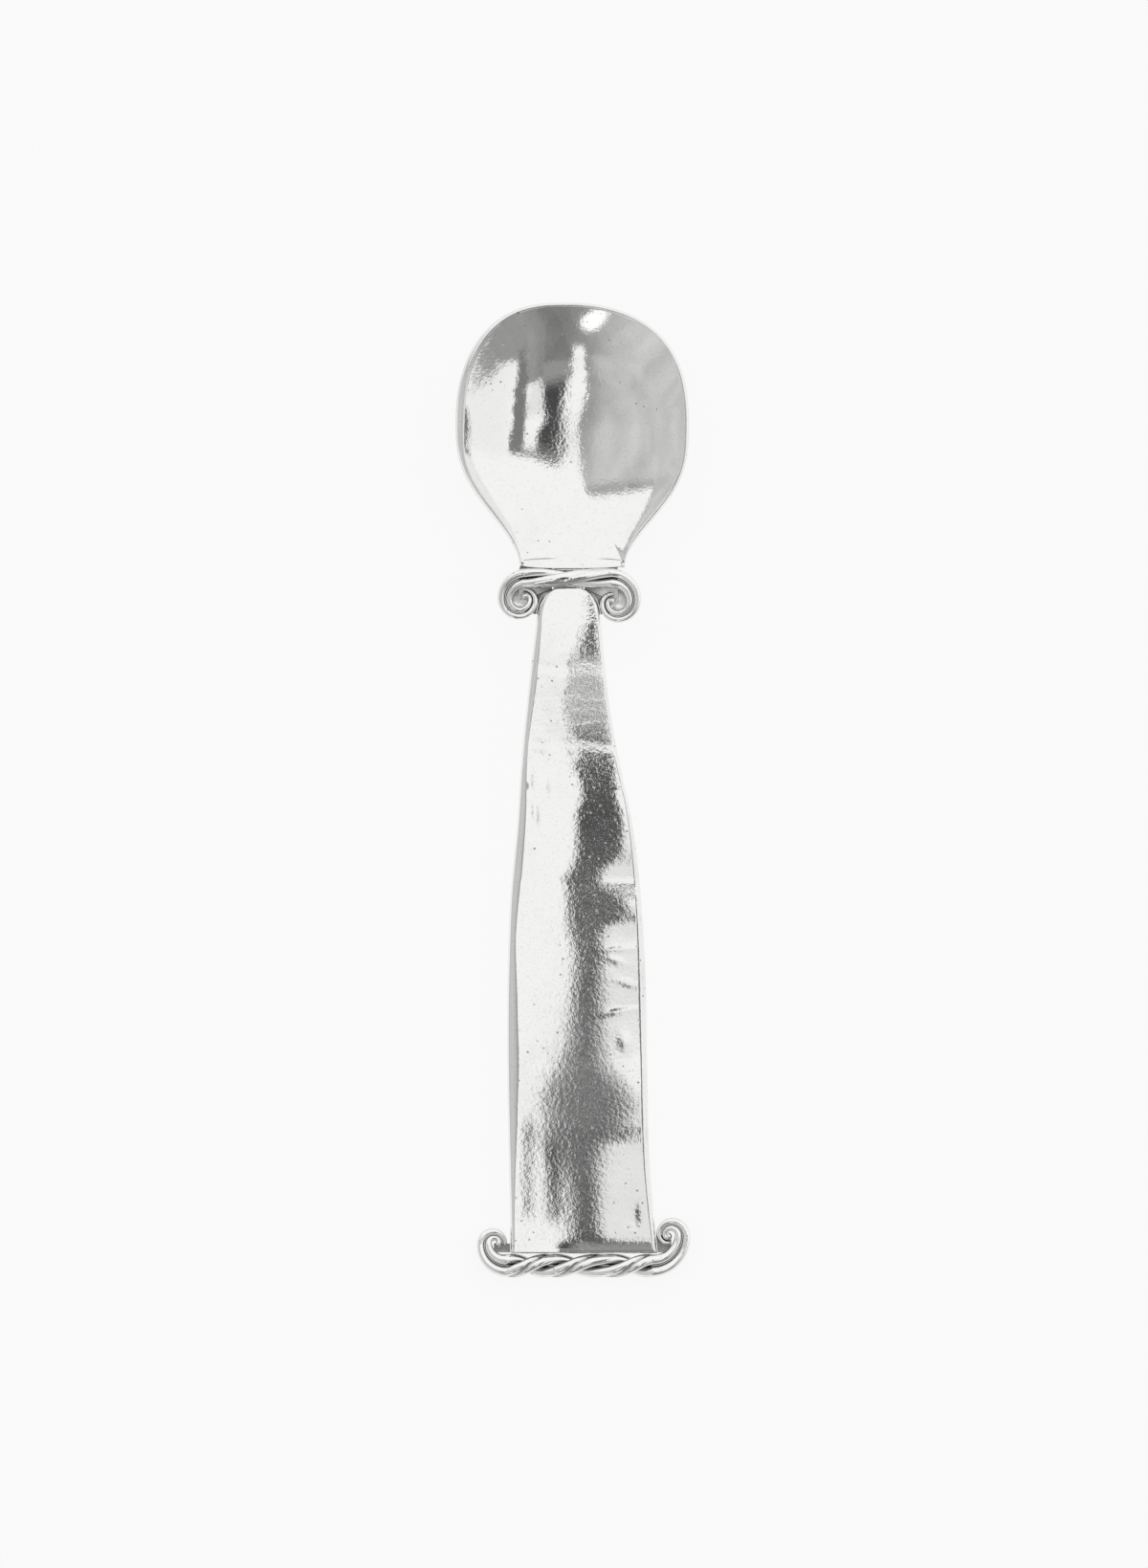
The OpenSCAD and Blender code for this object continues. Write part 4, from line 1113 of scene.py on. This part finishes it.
def studio(world):
    """A soft white studio around the spoon, with a grey wall on the left, a darker room towards
    the foot, and two dark bars overhead. Each shape is a product of soft steps of the slopes p
    and q, and is laid over those before it."""
    world.use_nodes = True
    tree = world.node_tree
    tree.nodes.clear()
    s = Sock(tree, None)
    x, y, z = s.node("ShaderNodeTexCoord", out=DIRECTION).parts()
    p = x / (PAST_POLE + z)
    q = y / (PAST_POLE + z)
    above = s.maths("MAXIMUM", q, 0.0)
    below = s.maths("MAXIMUM", 0 - q, 0.0)
    flat = s.node("ShaderNodeCombineXYZ", i0=p, i1=q)
    long = s.node("ShaderNodeCombineXYZ", i0=p, i1=q * STREAK_SHARE)
    ragged = s.node("ShaderNodeTexNoise", Vector=flat, Scale=RAG_SCALE, Detail=4.0, Roughness=0.6) - 0.5
    mottle = s.node("ShaderNodeTexNoise", Vector=flat, Scale=MOTTLE_SCALE, Detail=3.0, Roughness=0.55) - 0.5
    streak = s.node("ShaderNodeTexNoise", Vector=long, Scale=STREAK_SCALE, Detail=3.0, Roughness=0.6) - 0.5
    rag = ragged * (RAG_NEAR + q.abs().rise(*RAG_RISE) * RAG_FAR)

    drawn_in = s.maths("MINIMUM", (q - WALL_WAIST).abs() * WALL_SLANT, WALL_DRAWN_IN)
    wall_side = p + WALL_SIDE + rag + drawn_in
    wall_top = q - WALL_TOP + rag * WALL_TOP_RAG + p * WALL_TOP_SLANT
    wall_top = wall_top - (0 - p).rise(*WALL_FAR) * WALL_FAR_RISE
    wall = (1 - wall_side.rise(*WALL_SIDE_EDGE)) * (1 - wall_top.rise(*WALL_TOP_EDGE))
    strip = (1 - wall_side.abs().rise(*WALL_STRIP)) * q.within(*WALL_STRIP_REACH)
    line = 1 - (wall_top + WALL_LINE).abs().rise(*WALL_LINE_W)
    wall_level = WALL_LEVEL - strip * WALL_STRIP_DARK + mottle * WALL_MOTTLE - line * WALL_LINE_DARK

    bend = s.maths("MAXIMUM", p - ROOM_BEND, 0.0) * ROOM_BEND_SLANT
    room_top = q + ROOM_TOP + rag - bend - p.within(*ROOM_STEP) * ROOM_STEP_RISE
    room_top = room_top + p.within(*ROOM_NOTCH) * ROOM_NOTCH_DROP
    room = (1 - room_top.rise(*ROOM_TOP_EDGE)) * p.rise(*ROOM_LEFT)
    room_level = ROOM_LEVEL - p.within(*ROOM_DARK_STRIP) * ROOM_DARK + streak * ROOM_STREAK

    slot_side = s.maths("MINIMUM", below * SLOT_SLANT + SLOT_W, SLOT_MOST_W)
    slot_side = slot_side + q.rise(*SLOT_HEAD) * SLOT_HEAD_W
    frayed = p + ragged * below.rise(*SLOT_FRAY_RISE) * SLOT_FRAY
    slot = frayed.rise(*SLOT_LEFT_EDGE) * (frayed - slot_side).rise(*SLOT_RIGHT_EDGE)
    slot = slot * q.within(*SLOT_REACH)
    slot_level = SLOT_LEVEL + below.rise(*SLOT_FADE) * SLOT_FADE_LEVEL

    torn = p + ragged * BAR_TEAR
    lean = s.maths("MAXIMUM", below - BAR_FOOT, 0.0) * BAR_FOOT_SLANT
    bar = (torn - BAR_LEFT - above * BAR_LEFT_SLANT - lean).rise(*BAR_LEFT_EDGE)
    bar = bar * (torn - BAR_RIGHT - above * BAR_RIGHT_SLANT).rise(*BAR_RIGHT_EDGE)
    bar = bar * q.within(*BAR_REACH)
    tie = p.within(*TIE_ACROSS) * q.within(*TIE_ALONG)

    lamp_x = (p + LAMP_LEFT) / LAMP_W
    lamp_y = (q + LAMP_DOWN) / LAMP_H
    lamp = 1 - (lamp_x * lamp_x + lamp_y * lamp_y + ragged * LAMP_RAG).rise(*LAMP_EDGE)
    horizon = (p * p + q * q).rise(*HORIZON)

    light = 1 - p.within(*MIDDLE_SHADE_ACROSS) * below.rise(*MIDDLE_SHADE_DOWN) * MIDDLE_SHADE
    light = light - p.rise(*RIGHT_SHADE_ACROSS) * (1 - q.rise(*RIGHT_SHADE_UP)) * RIGHT_SHADE
    for mask, level in ((wall, wall_level), (room, room_level), (bar, BAR_LEVEL), (tie, BAR_LEVEL),
                        (slot, slot_level), (lamp, LAMP_LEVEL), (horizon, HORIZON_LEVEL)):
        light = (1 - mask) * light + mask * level
    shine = s.node("ShaderNodeBackground", Color=(1, 1, 1, 1), Strength=light)
    s.node("ShaderNodeOutputWorld", Surface=shine)


bpy.context.scene.world = bpy.data.worlds.new("studio")
studio(bpy.context.scene.world)
bpy.context.scene.view_settings.view_transform = "Standard"

# The floor lies a hair below the spoon. What the camera and the metal see of it is mostly an even
# pale glow, and the rest is paper that takes the spoon's shadow.
FLOOR_R = 40.0
FLOOR_SIDES = 96
FLOOR_DROP = 2e-5
PAPER = (0.93, 0.93, 0.93, 1)
GLOW = (0.985, 0.985, 0.985, 1)
GLOW_SHARE = 0.9
ring = np.linspace(0, 2 * np.pi, FLOOR_SIDES, endpoint=False)
floor_points = np.stack([FLOOR_R * np.cos(ring), FLOOR_R * np.sin(ring), 0 * ring - FLOOR_DROP], 1)
floor_mesh = bpy.data.meshes.new("floor_shape")
floor_mesh.from_pydata(floor_points.tolist(), [], [list(range(FLOOR_SIDES))])
floor_paper, s = new_material("floor_paper")
paths = s.node("ShaderNodeLightPath").socket.node.outputs
by_camera = Sock(s.tree, paths["Is Camera Ray"])
by_gloss = Sock(s.tree, paths["Is Glossy Ray"])
by_glass = Sock(s.tree, paths["Is Transmission Ray"])
seen = s.maths("MAXIMUM", s.maths("MAXIMUM", by_camera, by_gloss), by_glass)
paper = s.node("ShaderNodeBsdfDiffuse", Color=PAPER)
glow = s.node("ShaderNodeEmission", Color=GLOW, Strength=1.0)
mixed = s.node("ShaderNodeMixShader", i0=seen * GLOW_SHARE, i1=paper, i2=glow)
s.node("ShaderNodeOutputMaterial", Surface=mixed)
floor_mesh.materials.append(floor_paper)
floor = bpy.data.objects.new("floor", floor_mesh)
bpy.context.scene.collection.objects.link(floor)

# The camera looks straight down from a metre above the front, on a frame of this width, from a
# little to the right of the handle's top and past the spoon's middle
VIEW_HEIGHT = 1.0
FRAME_MM = 241.5
SENSOR_MM = 36.0
NEAREST = 0.05
CAMERA_X = 0.00087
CAMERA_Y = 0.0011
FRONT_Z = 0.004
camera_data = bpy.data.cameras.new("camera")
camera_data.sensor_width = SENSOR_MM
camera_data.lens = SENSOR_MM * VIEW_HEIGHT / (FRAME_MM * MM)
camera_data.clip_start = NEAREST
camera = bpy.data.objects.new("camera", camera_data)
camera.location = (CAMERA_X - MIDDLE[0] * MM, CAMERA_Y, VIEW_HEIGHT + FRONT_Z)
bpy.context.scene.collection.objects.link(camera)
bpy.context.scene.camera = camera
